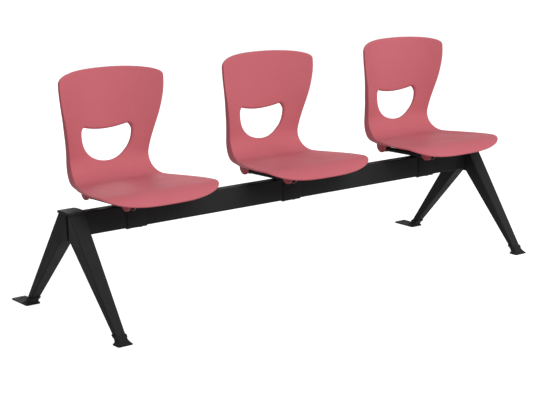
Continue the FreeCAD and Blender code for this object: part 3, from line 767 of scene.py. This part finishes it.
print("plate rises", round(plate_rise(TUBE_SIDE), 1), "mm to the tubes")

# %% [markdown]
# A weld bead joins each tube to the plate. On the real frame it is a row of small overlapping
# pools, so the bead is a round bar whose radius swells and shrinks as the torch steps along.

# %% Weld beads, and the whole seat frame
BEAD_RADIUS = 2.4
BEAD_RIPPLE = 0.5
BEAD_STEP = 2.4
BEAD_SETBACK = 2.0
BEAD_PLACE = (113.0, 403.8)
RINGS_PER_RIPPLE = 4


def lie_back(piece, x, z):
    """Turns a piece modelled on the Z axis to point backwards over the beam's line."""
    return moved(piece, shift(x, 0, z) @ TO_THE_REAR)


def model_bead(side):
    half = PLATE_HALF_WIDTH - BEAD_SETBACK
    count = round(2 * half / BEAD_STEP) * RINGS_PER_RIPPLE
    steps = []
    for number in range(count + 1):
        swell = abs(math.cos(math.pi * number / RINGS_PER_RIPPLE))
        steps.append(((2 * number / count - 1) * half, BEAD_RADIUS - BEAD_RIPPLE * swell))
    x, z = BEAD_PLACE
    return lie_back(turned(steps), side * x, z)


def model_seat_frame():
    pieces = [model_tube(side) for side in (-1, 1)]
    pieces += [model_bead(side) for side in (-1, 1)]
    return join(*pieces, model_plate())


hang_copies(model_seat_frame(), "black_metal", at_seats("seat_frame"))

# %% [markdown]
# Moulded caps close both ends of both tubes: a short plug inside, a rim on the end face and a
# rounded nose. The steps are heights and radii, from the plug's inner end to the nose.

# %% Tube caps
TUBE_CAP_STEPS = ((-8, 6.2), (-7.4, 6.8), (0, 6.8), (0, 9.0), (1.4, 9.0), (2.2, 8.6), (2.7, 7.9), (3, 6.8))


def model_tube_caps():
    caps = []
    for side in (-1, 1):
        for end, facing in zip(TUBE_ENDS, (-1, 1)):
            cap = turned(TUBE_CAP_STEPS)
            if facing < 0:
                moved(cap, Matrix.Rotation(math.pi, 4, "X"))
            caps.append(along_the_tube(cap, side * TUBE_SIDE, end))
    return join(*caps)


hang_copies(model_tube_caps(), "black_plastic", at_seats("tube_caps"))

# %% [markdown]
# A channel folded from sheet hugs the beam from below. As with the plate, its section is drawn
# once with its inner and outer bends and then extruded along the beam.

# %% Beam clamps
CLAMP_HALF = 40.0
CLAMP_INNER = 20.2
CLAMP_WALL = 2.8
CLAMP_BOTTOM = 297.0
CLAMP_BEND = 6.0
CLAMP_INNER_BEND = 4.2
CLAMP_BREAK = 0.5
ARC_STEPS = 6


def arc(y, z, radius, start, end):
    """Points on a quarter turn, seen from the end of the beam."""
    points = []
    for share in shares(ARC_STEPS):
        turn = math.radians(start + (end - start) * share)
        points.append((y + radius * math.cos(turn), z + radius * math.sin(turn)))
    return points


def model_clamp():
    outer = CLAMP_INNER + CLAMP_WALL
    inner_low = CLAMP_BOTTOM + CLAMP_WALL + CLAMP_INNER_BEND
    inner_bend = CLAMP_INNER - CLAMP_INNER_BEND
    outline = [(outer, BEAM_TOP), (CLAMP_INNER, BEAM_TOP)]
    outline += arc(inner_bend, inner_low, CLAMP_INNER_BEND, 0, -90)
    outline += arc(-inner_bend, inner_low, CLAMP_INNER_BEND, -90, -180)
    outline += [(-CLAMP_INNER, BEAM_TOP), (-outer, BEAM_TOP)]
    outline += arc(CLAMP_BEND - outer, CLAMP_BOTTOM + CLAMP_BEND, CLAMP_BEND, 180, 270)
    outline += arc(outer - CLAMP_BEND, CLAMP_BOTTOM + CLAMP_BEND, CLAMP_BEND, 270, 360)
    rings = [[Vector((x, BEAM_Y + y, z)) * MM for y, z in outline] for x in (-CLAMP_HALF, CLAMP_HALF)]
    clamp = raise_rings(rings)
    break_edges(clamp, CLAMP_BREAK)
    return drill_bolt_holes(clamp, CLAMP_BOTTOM)


hang_copies(model_clamp(), "black_metal", at_seats("beam_clamp"))

# %% [markdown]
# Two hexagon bolts run up through each clamp, the beam and the plate. Their threads are rings that
# step in and out once a pitch: a true helix would look the same at this size and cost far more
# faces. A nut is a short tube with a hexagon outside, so it reuses the tube's steps.

# %% Bolts and nuts
HEX_FLAT = 6.5
HEX_CHAMFER = 0.7
BOLT_HEAD = 5.5
SHANK = 4.0
BOLT_END = 393.5
BOLT_TIP = 0.7
THREADS = 16
THREAD_PITCH = 1.25
THREAD_DEPTH = 0.6
NUT_HEIGHT = 6.5
NUT_BORE = 4.1
NUT_BREAK = 0.6


def bolt_steps():
    head = CLAMP_BOTTOM - BOLT_HEAD
    thread_starts = BOLT_END - THREADS * THREAD_PITCH
    steps = [(head, HEX_FLAT - HEX_CHAMFER), (head + HEX_CHAMFER, HEX_FLAT, HEXAGON),
             (CLAMP_BOTTOM, HEX_FLAT, HEXAGON), (CLAMP_BOTTOM, SHANK), (thread_starts, SHANK)]
    for number in range(1, THREADS):
        z = thread_starts + number * THREAD_PITCH
        steps += [(z - THREAD_PITCH / 2, SHANK - THREAD_DEPTH), (z, SHANK)]
    steps.append((BOLT_END, SHANK - BOLT_TIP))
    return steps


def nut_steps():
    low = BEAM_TOP + PLATE_THICKNESS
    return pipe_steps(low, low + NUT_HEIGHT, HEX_FLAT, HEX_CHAMFER, NUT_BORE, NUT_BREAK, HEXAGON)


def at_both_bolts(steps, closed=False):
    """The same turned piece at the two bolt places of a clamp."""
    return join(*[moved(turned(steps, closed), shift(side * BOLT_SIDE, 0, 0)) for side in (-1, 1)])


hang_copies(at_both_bolts(bolt_steps()), "zinc_steel", at_seats("clamp_bolts"))
hang_copies(at_both_bolts(nut_steps(), closed=True), "zinc_steel", at_seats("clamp_nuts"))

# %% [markdown]
# Two more screws: long socket screws that pin the beam in each end frame, and short ones that
# hold the clips to the tubes. They too are turned from steps of height and radius. Where a step
# says so, its ring is a hexagon, so the socket goes down inside the head without a Boolean.

# %% Screws
LEG_SCREW_X = 903.75
LEG_SCREW_HEIGHTS = (322.0, 358.0)
LEG_SCREW_STEPS = ((-34, 3.4), (-33.4, 4), (42, 4), (42, 6.5), (49.3, 6.5), (50, 5.8),
                   (50, 3, HEXAGON), (45.5, 3, HEXAGON))
CLIP_FIT = 0.25
CLIP_PLACES = (84.0, -158.0)
EAR_WALL = 4.5
SHELL_SCREW_STEPS = ((-1.2, 1.5, HEXAGON), (-3, 1.5, HEXAGON), (-3, 2.6), (-2.6, 3.6), (-1.6, 4.3),
                     (-0.6, 4.5), (0, 4.5), (0, 2.5), (25.5, 2.5), (26, 2))


def model_leg_screws():
    return join(*[lie_back(turned(LEG_SCREW_STEPS), 0, z) for z in LEG_SCREW_HEIGHTS])


def model_shell_screws():
    """Pan heads on the inner ear of each clip, pointing outwards through the tube."""
    inwards = TUBE_RADIUS + CLIP_FIT + EAR_WALL
    screws = []
    for side in (-1, 1):
        outwards = Matrix.Rotation(side * math.pi / 2, 4, "Y")
        for y in CLIP_PLACES:
            place = shift(side * (TUBE_SIDE - inwards), y, tube_height(y))
            screws.append(moved(turned(SHELL_SCREW_STEPS), place @ outwards))
    return join(*screws)


hang_copies(model_leg_screws(), "zinc_steel", at_ends("leg_screws", LEG_SCREW_X))
hang_copies(model_shell_screws(), "zinc_steel", at_seats("shell_screws"))

# %% [markdown]
# The cast legs, the beam and its plugs keep the CAD's own surfaces, because these are already the
# shapes of the real ones. They arrive as loose triangles, so each is merged at its seams and its
# curves are shaded smooth; the legs and plugs also have their sharp edges broken.

# %% Legs, beam and plugs
CAST_BREAK = 0.5
FLAT_ANGLE = math.radians(0.5)


def smooth_copy(node, slot, edge=0.0):
    """A merged and smoothed copy of a CAD part; where an edge width is given, its sharp edges are broken
    by a small bevel.
    """
    piece = bpy.data.objects.new(node + "_dressed", nodes[node].data.copy())
    bpy.context.scene.collection.objects.link(piece)
    select_only(piece)
    bpy.ops.object.mode_set(mode="EDIT")
    bpy.ops.mesh.select_all(action="SELECT")
    bpy.ops.mesh.remove_doubles(threshold=MERGE_DISTANCE)
    bpy.ops.mesh.dissolve_limited(angle_limit=FLAT_ANGLE)
    bpy.ops.object.mode_set(mode="OBJECT")
    if edge:
        break_edges(piece, edge)
    return finish_piece(smooth(piece), slot, node)


for end in ("left", "right"):
    for part in ("front_leg", "rear_leg"):
        smooth_copy(end + "_" + part, "black_metal", CAST_BREAK)
    smooth_copy(end + "_beam_plug", "black_plastic", CAST_BREAK)
smooth_copy("beam", "black_metal")

# %% [markdown]
# A seat shell is one sheet of plastic, bent in profile, curled round the sitter and turned back at
# its edge. It is modelled the way a sheet would be formed: first flat, as a pattern of width and
# length, and then each point is moved on to the curve. The profile is a centre line of two
# straights and two bends, so a place on it is just a distance from the crown.

# %% The seat's profile
CROWN_Z = 822.8
SEAT_Z = 448.5
HEEL_Y = 70.7
BACK_LEAN = 4.5
BEND_RADIUS = 90.0
SEAT_ANGLE = 92.0
SEAT_LENGTH = 222.0
NOSE_RADIUS = 97.0
NOSE_ANGLE = 38.0
HEEL_Z = SEAT_Z + BEND_RADIUS * math.sin(math.radians(SEAT_ANGLE))
HEEL = Vector((0, BEAM_Y + HEEL_Y, HEEL_Z))
LEAN = math.radians(BACK_LEAN)
BACK_LENGTH = (CROWN_Z - HEEL_Z + BEND_RADIUS * math.sin(LEAN)) / math.cos(LEAN)
BEND_END = BACK_LENGTH + BEND_RADIUS * math.radians(SEAT_ANGLE - BACK_LEAN)
SEAT_END = BEND_END + SEAT_LENGTH
SHELL_LENGTH = SEAT_END + NOSE_RADIUS * math.radians(SEAT_ANGLE - NOSE_ANGLE)


def along(angle):
    """Down the profile: 0 degrees points at the floor and 90 at the front."""
    turn = math.radians(angle)
    return Vector((0, -math.sin(turn), -math.cos(turn)))


def behind(angle):
    """Square to the profile, away from the sitter."""
    turn = math.radians(angle)
    return Vector((0, math.cos(turn), -math.sin(turn)))


def profile(s):
    """The point and the slope at a distance s below the crown, in millimetres."""
    if s <= BACK_LENGTH:
        back = HEEL + behind(BACK_LEAN) * BEND_RADIUS
        return back - along(BACK_LEAN) * (BACK_LENGTH - s), BACK_LEAN
    if s <= BEND_END:
        angle = BACK_LEAN + math.degrees((s - BACK_LENGTH) / BEND_RADIUS)
        return HEEL + behind(angle) * BEND_RADIUS, angle
    pan = HEEL + behind(SEAT_ANGLE) * BEND_RADIUS
    if s <= SEAT_END:
        return pan + along(SEAT_ANGLE) * (s - BEND_END), SEAT_ANGLE
    nose = pan + along(SEAT_ANGLE) * SEAT_LENGTH + behind(SEAT_ANGLE) * NOSE_RADIUS
    angle = SEAT_ANGLE - math.degrees((s - SEAT_END) / NOSE_RADIUS)
    return nose - behind(angle) * NOSE_RADIUS, angle


print("shell length along its profile", round(SHELL_LENGTH, 1), "mm")

# %% [markdown]
# Three more laws give the shell its character: how wide it is at each place, how much the back
# curls forward at its sides, and how deep the turned edge is. Each one eases from one value to
# the next, because a moulded surface has no sudden changes.

# %% Width, curl and edge depth
BACK_WIDTH = 416.0
WAIST_WIDTH = 319.0
SEAT_WIDTH = 472.0
BACK_WIDTH_AT = 55.0
WAIST_AT = BACK_LENGTH + 36
SEAT_WIDTH_AT = SHELL_LENGTH - 107
CURL_RADIUS = 303.0
CURL_FADES = (BACK_LENGTH - 144, BEND_END + 19)
EDGE_DEPTHS = ((-194, 13.0), (-64, 22.0), (-4, 24.0), (66, 34.0), (131, 15.0), (306, 6.0))


def ease(s, start, end, low, high):
    share = min(1.0, max(0.0, (s - start) / (end - start)))
    return low + (high - low) * share * share * (3 - 2 * share)


def half_width(s):
    if s < WAIST_AT:
        return ease(s, BACK_WIDTH_AT, WAIST_AT, BACK_WIDTH, WAIST_WIDTH) / 2
    return ease(s, WAIST_AT, SEAT_WIDTH_AT, WAIST_WIDTH, SEAT_WIDTH) / 2


def curl(s):
    """A point at x from the middle comes forward by curl times x squared, as on a circle."""
    return ease(s, *CURL_FADES, 0.5 / CURL_RADIUS, 0)


def edge_depth(s):
    """Depth at distances past the start of the bend; the edge is deepest at the heel."""
    depth = EDGE_DEPTHS[0][1]
    for (start, low), (end, high) in zip(EDGE_DEPTHS, EDGE_DEPTHS[1:]):
        if s > BACK_LENGTH + start:
            depth = ease(s, BACK_LENGTH + start, BACK_LENGTH + end, low, high)
    return depth


def formed(x, s, depth):
    """Where a point of the flat pattern goes when the sheet is formed."""
    point, angle = profile(s)
    return point + behind(angle) * (depth - curl(s) * x * x) + Vector((x, 0, 0))


print("waist", round(2 * half_width(WAIST_AT)), "mm, pan", round(2 * half_width(SEAT_WIDTH_AT)), "mm wide")

# %% [markdown]
# The outline is a rounded crown, the waisted sides and two broad front corners. Corners that swell
# a little more than an ellipse are drawn with powers of sine and cosine. Even steps along the
# outline keep the faces of the edge regular.

# %% The outline of the flat pattern
CROWN_HEIGHT = 42.0
CROWN_POWER = 2.4
CORNER_LENGTH = 113.0
CORNER_POWER = 2.85
OUTLINE_STEP = 7.0
FINE_STEPS = 400


def half_outline(inset):
    """Points from the crown's middle down one side to the middle of the front edge."""
    points = []
    for share in shares(FINE_STEPS)[:-1]:
        angle = math.pi / 2 * share
        s = inset + (CROWN_HEIGHT - inset) * (1 - math.cos(angle) ** (2 / CROWN_POWER))
        points.append((s, (half_width(s) - inset) * math.sin(angle) ** (2 / CROWN_POWER)))
    corner_starts = SHELL_LENGTH - CORNER_LENGTH
    for share in shares(FINE_STEPS)[:-1]:
        s = CROWN_HEIGHT + (corner_starts - CROWN_HEIGHT) * share
        points.append((s, half_width(s) - inset))
    for share in shares(FINE_STEPS):
        angle = math.pi / 2 * (1 - share)
        s = corner_starts + (CORNER_LENGTH - inset) * math.cos(angle) ** (2 / CORNER_POWER)
        points.append((s, (half_width(s) - inset) * math.sin(angle) ** (2 / CORNER_POWER)))
    return points


def lengths_along(points):
    lengths = [0.0]
    for (a0, b0), (a1, b1) in zip(points, points[1:]):
        lengths.append(lengths[-1] + math.hypot(a1 - a0, b1 - b0))
    return lengths


def even_places(points, count):
    """Which of the fine points lie at count even steps along the line, as indices."""
    lengths = lengths_along(points)
    chosen = []
    index = 0
    for number in range(count + 1):
        wanted = lengths[-1] * number / count
        while index < len(lengths) - 1 and lengths[index] < wanted:
            index += 1
        chosen.append(index)
    return chosen


outline_steps = round(lengths_along(half_outline(0))[-1] / OUTLINE_STEP)
outline_places = even_places(half_outline(0), outline_steps)


def mirrored(left):
    """A whole ring from its left half, whose first and last point lie on the middle line."""
    return left + [(-point[0], *point[1:]) for point in reversed(left[1:-1])]


def outline_ring(inset, depth_of):
    """A closed ring of the pattern, from the crown down the left side and up the right one."""
    fine = half_outline(inset)
    left = []
    for index in outline_places:
        s, x = fine[index]
        left.append((-x, s, depth_of(s)))
    return mirrored(left)


print("outline points", len(outline_ring(0, edge_depth)))

# %% [markdown]
# The hand hole is a bowl with a flatter, sagging top edge. It is drawn as seen from the front, so
# each of its points is first carried back on to the pattern: the height of a formed point falls
# steadily with s, and halving the range finds the s that has the height wanted.

# %% The outline of the hand hole
HOLE_HALF_WIDTH = 101.5
HOLE_MIDDLE_Z = 602.0
HOLE_TOP_Z = 624.5
HOLE_SAG = 12.5
HOLE_BOTTOM_Z = 505.0
HOLE_ROUNDNESS = 0.6
HOLE_CORNER = 15.0
HOLE_CORNER_PULL = 0.5
HALVINGS = 30


def last_before(low, high, holds):
    """The end of the stretch in which a test holds, found by halving the range."""
    for _ in range(HALVINGS):
        middle = (low + high) / 2
        if holds(middle):
            low = middle
        else:
            high = middle
    return low


def on_pattern(x, z):
    """The distance from the crown at which the formed face stands at height z."""
    return last_before(0.0, BEND_END, lambda s: formed(x, s, 0).z > z)


def cubic(ends, share):
    """A point on the curve that leaves the first point for the second and ends at the last."""
    rest = 1 - share
    weights = (rest ** 3, 3 * rest * rest * share, 3 * rest * share * share, share ** 3)
    return tuple(sum(weight * point[axis] for weight, point in zip(weights, ends)) for axis in (0, 1))


def hole_outline(grow):
    """Fine points of the hole as (x, z), from the top's middle down the left side and round."""
    half = HOLE_HALF_WIDTH + grow
    bottom = HOLE_BOTTOM_Z - grow
    top = HOLE_TOP_Z + grow
    radius = HOLE_CORNER + grow
    level = half - radius
    slope = 2 * math.atan(HOLE_SAG / level)
    pull = radius * HOLE_CORNER_PULL
    corner = [(-level, top), (-level - pull * math.cos(slope), top + pull * math.sin(slope)),
              (-half, HOLE_MIDDLE_Z + (top - HOLE_MIDDLE_Z) * HOLE_CORNER_PULL), (-half, HOLE_MIDDLE_Z)]
    bowl = [(-half, HOLE_MIDDLE_Z), (-half, HOLE_MIDDLE_Z - (HOLE_MIDDLE_Z - bottom) * HOLE_ROUNDNESS),
            (-half * HOLE_ROUNDNESS, bottom), (0, bottom)]
    fine = shares(FINE_STEPS)
    points = [(-level * share, top - HOLE_SAG * (1 - share * share)) for share in fine[:-1]]
    points += [cubic(corner, share) for share in fine[:-1]]
    points += [cubic(bowl, share) for share in fine]
    return points


def hole_ring(count, grow):
    """A ring of count points round the hole, as (x, s), in the outline's order."""
    fine = hole_outline(grow)
    left = []
    for index in even_places(hole_outline(0), count // 2):
        x, z = fine[index]
        left.append((x, on_pattern(x, z)))
    return mirrored(left)


print("the hole starts", round(on_pattern(0, HOLE_TOP_Z)), "mm below the crown")

# %% [markdown]
# The moulded edge never ends in a sharp cut: it rolls over a small radius and runs back as a
# flange. Both are drawn on the flat pattern as rings, each with its depth behind the sheet, so
# that one extrusion after another makes them.

# %% Rings of the turned edge
ROLL = 4.5
ROLL_STEPS = 6
FLANGE_STEPS = 4
BORDER = 14.0


def edge_rings():
    rings = [outline_ring(BORDER, lambda s: 0), outline_ring(ROLL, lambda s: 0)]
    for share in shares(ROLL_STEPS, 1):
        angle = math.pi / 2 * share
        depth = ROLL * (1 - math.cos(angle))
        rings.append(outline_ring(ROLL * (1 - math.sin(angle)), lambda s, d=depth: d))
    for share in shares(FLANGE_STEPS, 1):
        rings.append(outline_ring(0, lambda s, k=share: ROLL + (edge_depth(s) - ROLL) * k))
    return rings


print("edge rings", len(edge_rings()))

# %% [markdown]
# The hole's edge rolls back too, widest along the top, where a hand grips it. Its rings start at a
# window, a rectangle on the sheet's grid, and ease from there to the hole's outline, so that no
# long thin faces stand round the hole.

# %% Rings of the hand hole
CELL = 8.0
WINDOW_HALF = 120.0
WINDOW_TOP = 168.0
WINDOW_BOTTOM = 344.0
WINDOW_STEPS = 4
HOLE_ROLL = 6.0
HOLE_TOP_ROLL = 9.0
HOLE_LIP = 5.0
HOLE_ROLL_STEPS = 6


def window_ring():
    """The window's rectangle in steps of one cell, in the same order as the hole's ring."""
    across = round(WINDOW_HALF / CELL)
    down = round((WINDOW_BOTTOM - WINDOW_TOP) / CELL)
    left = [(-CELL * i, WINDOW_TOP) for i in range(across)]
    left += [(-WINDOW_HALF, WINDOW_TOP + CELL * i) for i in range(down)]
    left += [(-WINDOW_HALF + CELL * i, WINDOW_BOTTOM) for i in range(across + 1)]
    return mirrored([(x, s, 0.0) for x, s in left])


def rolled_ring(edge, wide, angle, lip=0.0):
    """The hole's edge where its roll has turned by an angle; the roll is widest along the top."""
    top = on_pattern(0, HOLE_TOP_Z - HOLE_SAG)
    middle = on_pattern(0, HOLE_MIDDLE_Z)
    ring = []
    for (x0, s0), (x1, s1) in zip(edge, wide):
        radius = ease(s0, top, middle, HOLE_TOP_ROLL, HOLE_ROLL)
        share = radius / HOLE_TOP_ROLL * (1 - math.sin(angle))
        depth = radius * (1 - math.cos(angle)) + lip
        ring.append((x0 + (x1 - x0) * share, s0 + (s1 - s0) * share, depth))
    return ring


def hole_rings():
    window = window_ring()
    edge = hole_ring(len(window), 0.0)
    wide = hole_ring(len(window), HOLE_TOP_ROLL)
    outer = rolled_ring(edge, wide, 0.0)
    rings = [window]
    for share in shares(WINDOW_STEPS, 1):
        rings.append([tuple(a + (b - a) * share for a, b in zip(p, q)) for p, q in zip(window, outer)])
    rings += [rolled_ring(edge, wide, math.pi / 2 * share) for share in shares(HOLE_ROLL_STEPS, 1)]
    rings.append(rolled_ring(edge, wide, math.pi / 2, HOLE_LIP))
    return rings


print("hole rings", len(hole_rings()), "of", len(window_ring()), "points")

# %% [markdown]
# The flat blank starts as a filled circle whose points are moved to the outline, and its edge is
# then extruded ring by ring. One big face can't bend, so the inside is cut into a grid with
# bisecting planes. Subdividing would not give square cells here, and square cells bend evenly.

# %% Cut the flat blank
def flat(point):
    """A pattern point in the blank's own space: s runs down, and depth goes behind the sheet."""
    x, s, depth = point
    return Vector((x, -s, -depth)) * MM


def flat_rings(rings):
    return [[flat(point) for point in ring] for ring in rings]


def cut_blank():
    """The edge by extrusion, then a grid of cuts inside it, with the border hidden meanwhile."""
    rings = flat_rings(edge_rings())
    shell = start_ring(rings[0], "NGON")
    extend(shell, rings)
    bpy.ops.mesh.select_mode(type="FACE")
    select_faces(shell, lambda face: len(face.vertices) == 4)
    bpy.ops.mesh.hide(unselected=False)
    lines = int(max(BACK_WIDTH, SEAT_WIDTH) / 2 // CELL)
    cut_across(0, [number * CELL for number in range(-lines, lines + 1)])
    cut_across(1, [-number * CELL for number in range(1, int(SHELL_LENGTH // CELL) + 1)])
    return shell


blank = cut_blank()
print("blank", len(blank.data.polygons), "faces")

# %% [markdown]
# The window's faces are deleted, and its rim is drawn in to the hole and then back as a lip. A
# Boolean would cut the hole in one go, but it would leave ragged faces where the roll has to start.

# %% Open the hand hole
ON_LINE = 1e-6


def open_window(shell):
    half, top, bottom = (size * MM for size in (WINDOW_HALF, WINDOW_TOP, WINDOW_BOTTOM))
    select_faces(shell, lambda face: not face.hide and abs(face.center.x) < half
                 and top < -face.center.y < bottom)
    bpy.ops.mesh.delete(type="FACE")
    bpy.ops.mesh.select_mode(type="EDGE")
    bpy.ops.mesh.select_all(action="DESELECT")
    bpy.ops.object.mode_set(mode="OBJECT")
    corners = shell.data.vertices
    for edge in shell.data.edges:
        middle = (corners[edge.vertices[0]].co + corners[edge.vertices[1]].co) / 2
        on_side = abs(abs(middle.x) - half) < ON_LINE and top < -middle.y < bottom
        on_end = min(abs(middle.y + top), abs(middle.y + bottom)) < ON_LINE
        edge.select = on_side or (on_end and abs(middle.x) < half)
    bpy.ops.object.mode_set(mode="EDIT")
    extend(shell, flat_rings(hole_rings()))
    bpy.ops.mesh.reveal()
    bpy.ops.object.mode_set(mode="OBJECT")


open_window(blank)
print("blank with its hole", len(blank.data.polygons), "faces")

# %% [markdown]
# Forming moves every point of the blank on to the curve. Only then does the sheet get its wall,
# so that the wall is as thick in the bend as in the flat, and its free edges are broken a little.

# %% Form the blank and give it its wall
WALL = 4.0
EDGE_BREAK = 0.8
EDGE_BREAK_ANGLE = 50.0


def form_shell(shell):
    for vertex in shell.data.vertices:
        x, down, deep = vertex.co / MM
        vertex.co = formed(x, -down, -deep) * MM
    shell.data.update()
    apply_modifier(shell, "SOLIDIFY", thickness=WALL * MM, offset=-1, use_even_offset=True)
    break_edges(shell, EDGE_BREAK, EDGE_BREAK_ANGLE)


form_shell(blank)
print("formed shell", len(blank.data.polygons), "faces")

# %% [markdown]
# Under the pan hang four clips, moulded in one with the shell. Each is a pair of ears, one on
# either side of a frame tube. An ear is a cylinder on its side whose upper half is drawn up into
# the pan, which meets the pan's curve better than a cut would. Its outer face is split by a rib
# and the two halves are inset, as a mould maker does to save plastic.

# %% Ears of the clips
EAR_RADIUS = 26.5
EAR_DROP = 14.5
EAR_POINTS = 48
CLIP_RIM = 2.2
CLIP_SINK = 1.4
CLIP_BREAK = 0.6
CLIP_FACING = 0.9
HAIR = 0.001


def in_the_wall(x, y):
    """The height of the middle of the pan's wall over a place on the floor."""
    bend_middle = (BACK_LENGTH + BEND_END) / 2
    s = last_before(bend_middle, SHELL_LENGTH, lambda s: formed(x, s, WALL / 2).y > y)
    return formed(x, s, WALL / 2).z


def reach_the_pan(piece, over):
    """Lifts the vertices that stand more than a hair above a height into the pan's wall."""
    for vertex in piece.data.vertices:
        if vertex.co.z > (over + HAIR) * MM:
            x, y, _ = vertex.co / MM
            vertex.co.z = in_the_wall(x, y) * MM
    piece.data.update()


def model_ear(x, y, out):
    """One ear; out is 1 where its ribbed face looks to the right and -1 to the left."""
    centre_z = tube_height(y) - EAR_DROP + EAR_RADIUS
    bpy.ops.object.select_all(action="DESELECT")
    bpy.ops.mesh.primitive_cylinder_add(
        vertices=EAR_POINTS, radius=EAR_RADIUS * MM, depth=EAR_WALL * MM, rotation=(0, math.pi / 2, 0),
        location=Vector((x + out * EAR_WALL / 2, BEAM_Y + y, centre_z)) * MM)
    ear = bpy.context.object
    bpy.ops.object.transform_apply(location=True, rotation=True, scale=True)
    reach_the_pan(ear, centre_z)
    bpy.ops.object.mode_set(mode="EDIT")
    bpy.ops.mesh.select_mode(type="FACE")
    select_faces(ear, lambda face: face.normal.x * out > CLIP_FACING)
    bpy.ops.mesh.bisect(plane_co=(0, (BEAM_Y + y) * MM, 0), plane_no=(0, 1, 0))
    bpy.ops.object.mode_set(mode="OBJECT")
    sink_panels(ear, lambda face: face.normal.x * out > CLIP_FACING, CLIP_RIM, CLIP_SINK)
    break_edges(ear, CLIP_BREAK)
    return ear


print("pan over the front clips", round(in_the_wall(TUBE_SIDE, BEAM_Y + CLIP_PLACES[1])), "mm up")

# %% [markdown]
# Between two ears a saddle rests on the tube and carries the sitter's weight. It is a thin block
# whose upper face is drawn up into the pan like the ears, with its two open ends sunk.

# %% Saddles, and all the clips of a seat
EAR_PLACES = (92.0, -158.0)
SADDLE_LENGTH = 24.0
SADDLE_START = 1.0


def model_saddle(x, y):
    half = TUBE_RADIUS + CLIP_FIT
    low = tube_height(y) + half
    bpy.ops.object.select_all(action="DESELECT")
    bpy.ops.mesh.primitive_cube_add(size=1, location=Vector((x, BEAM_Y + y, low + SADDLE_START / 2)) * MM,
                                    scale=Vector((2 * half, SADDLE_LENGTH, SADDLE_START)) * MM)
    saddle = bpy.context.object
    bpy.ops.object.transform_apply(location=True, rotation=True, scale=True)
    reach_the_pan(saddle, low)
    sink_panels(saddle, lambda face: abs(face.normal.y) > CLIP_FACING, CLIP_RIM, CLIP_SINK)
    break_edges(saddle, CLIP_BREAK)
    return saddle


def add_clips(shell):
    clips = []
    for y, ear_y in zip(CLIP_PLACES, EAR_PLACES):
        for side in (-1, 1):
            for out in (-1, 1):
                clips.append(model_ear(side * TUBE_SIDE + out * (TUBE_RADIUS + CLIP_FIT), ear_y, out))
            clips.append(model_saddle(side * TUBE_SIDE, y))
    join(*clips, shell)
    print("clip parts", len(clips), "in a shell of", len(shell.data.polygons), "faces")


add_clips(blank)

# %% [markdown]
# The three seats are alike, as if from one mould, so the finished shell is a pattern too: it is
# copied to its three places with everything that was moulded on it.

# %% Three seats from one
hang_copies(blank, "seat_plastic", at_seats("seat_shell"))
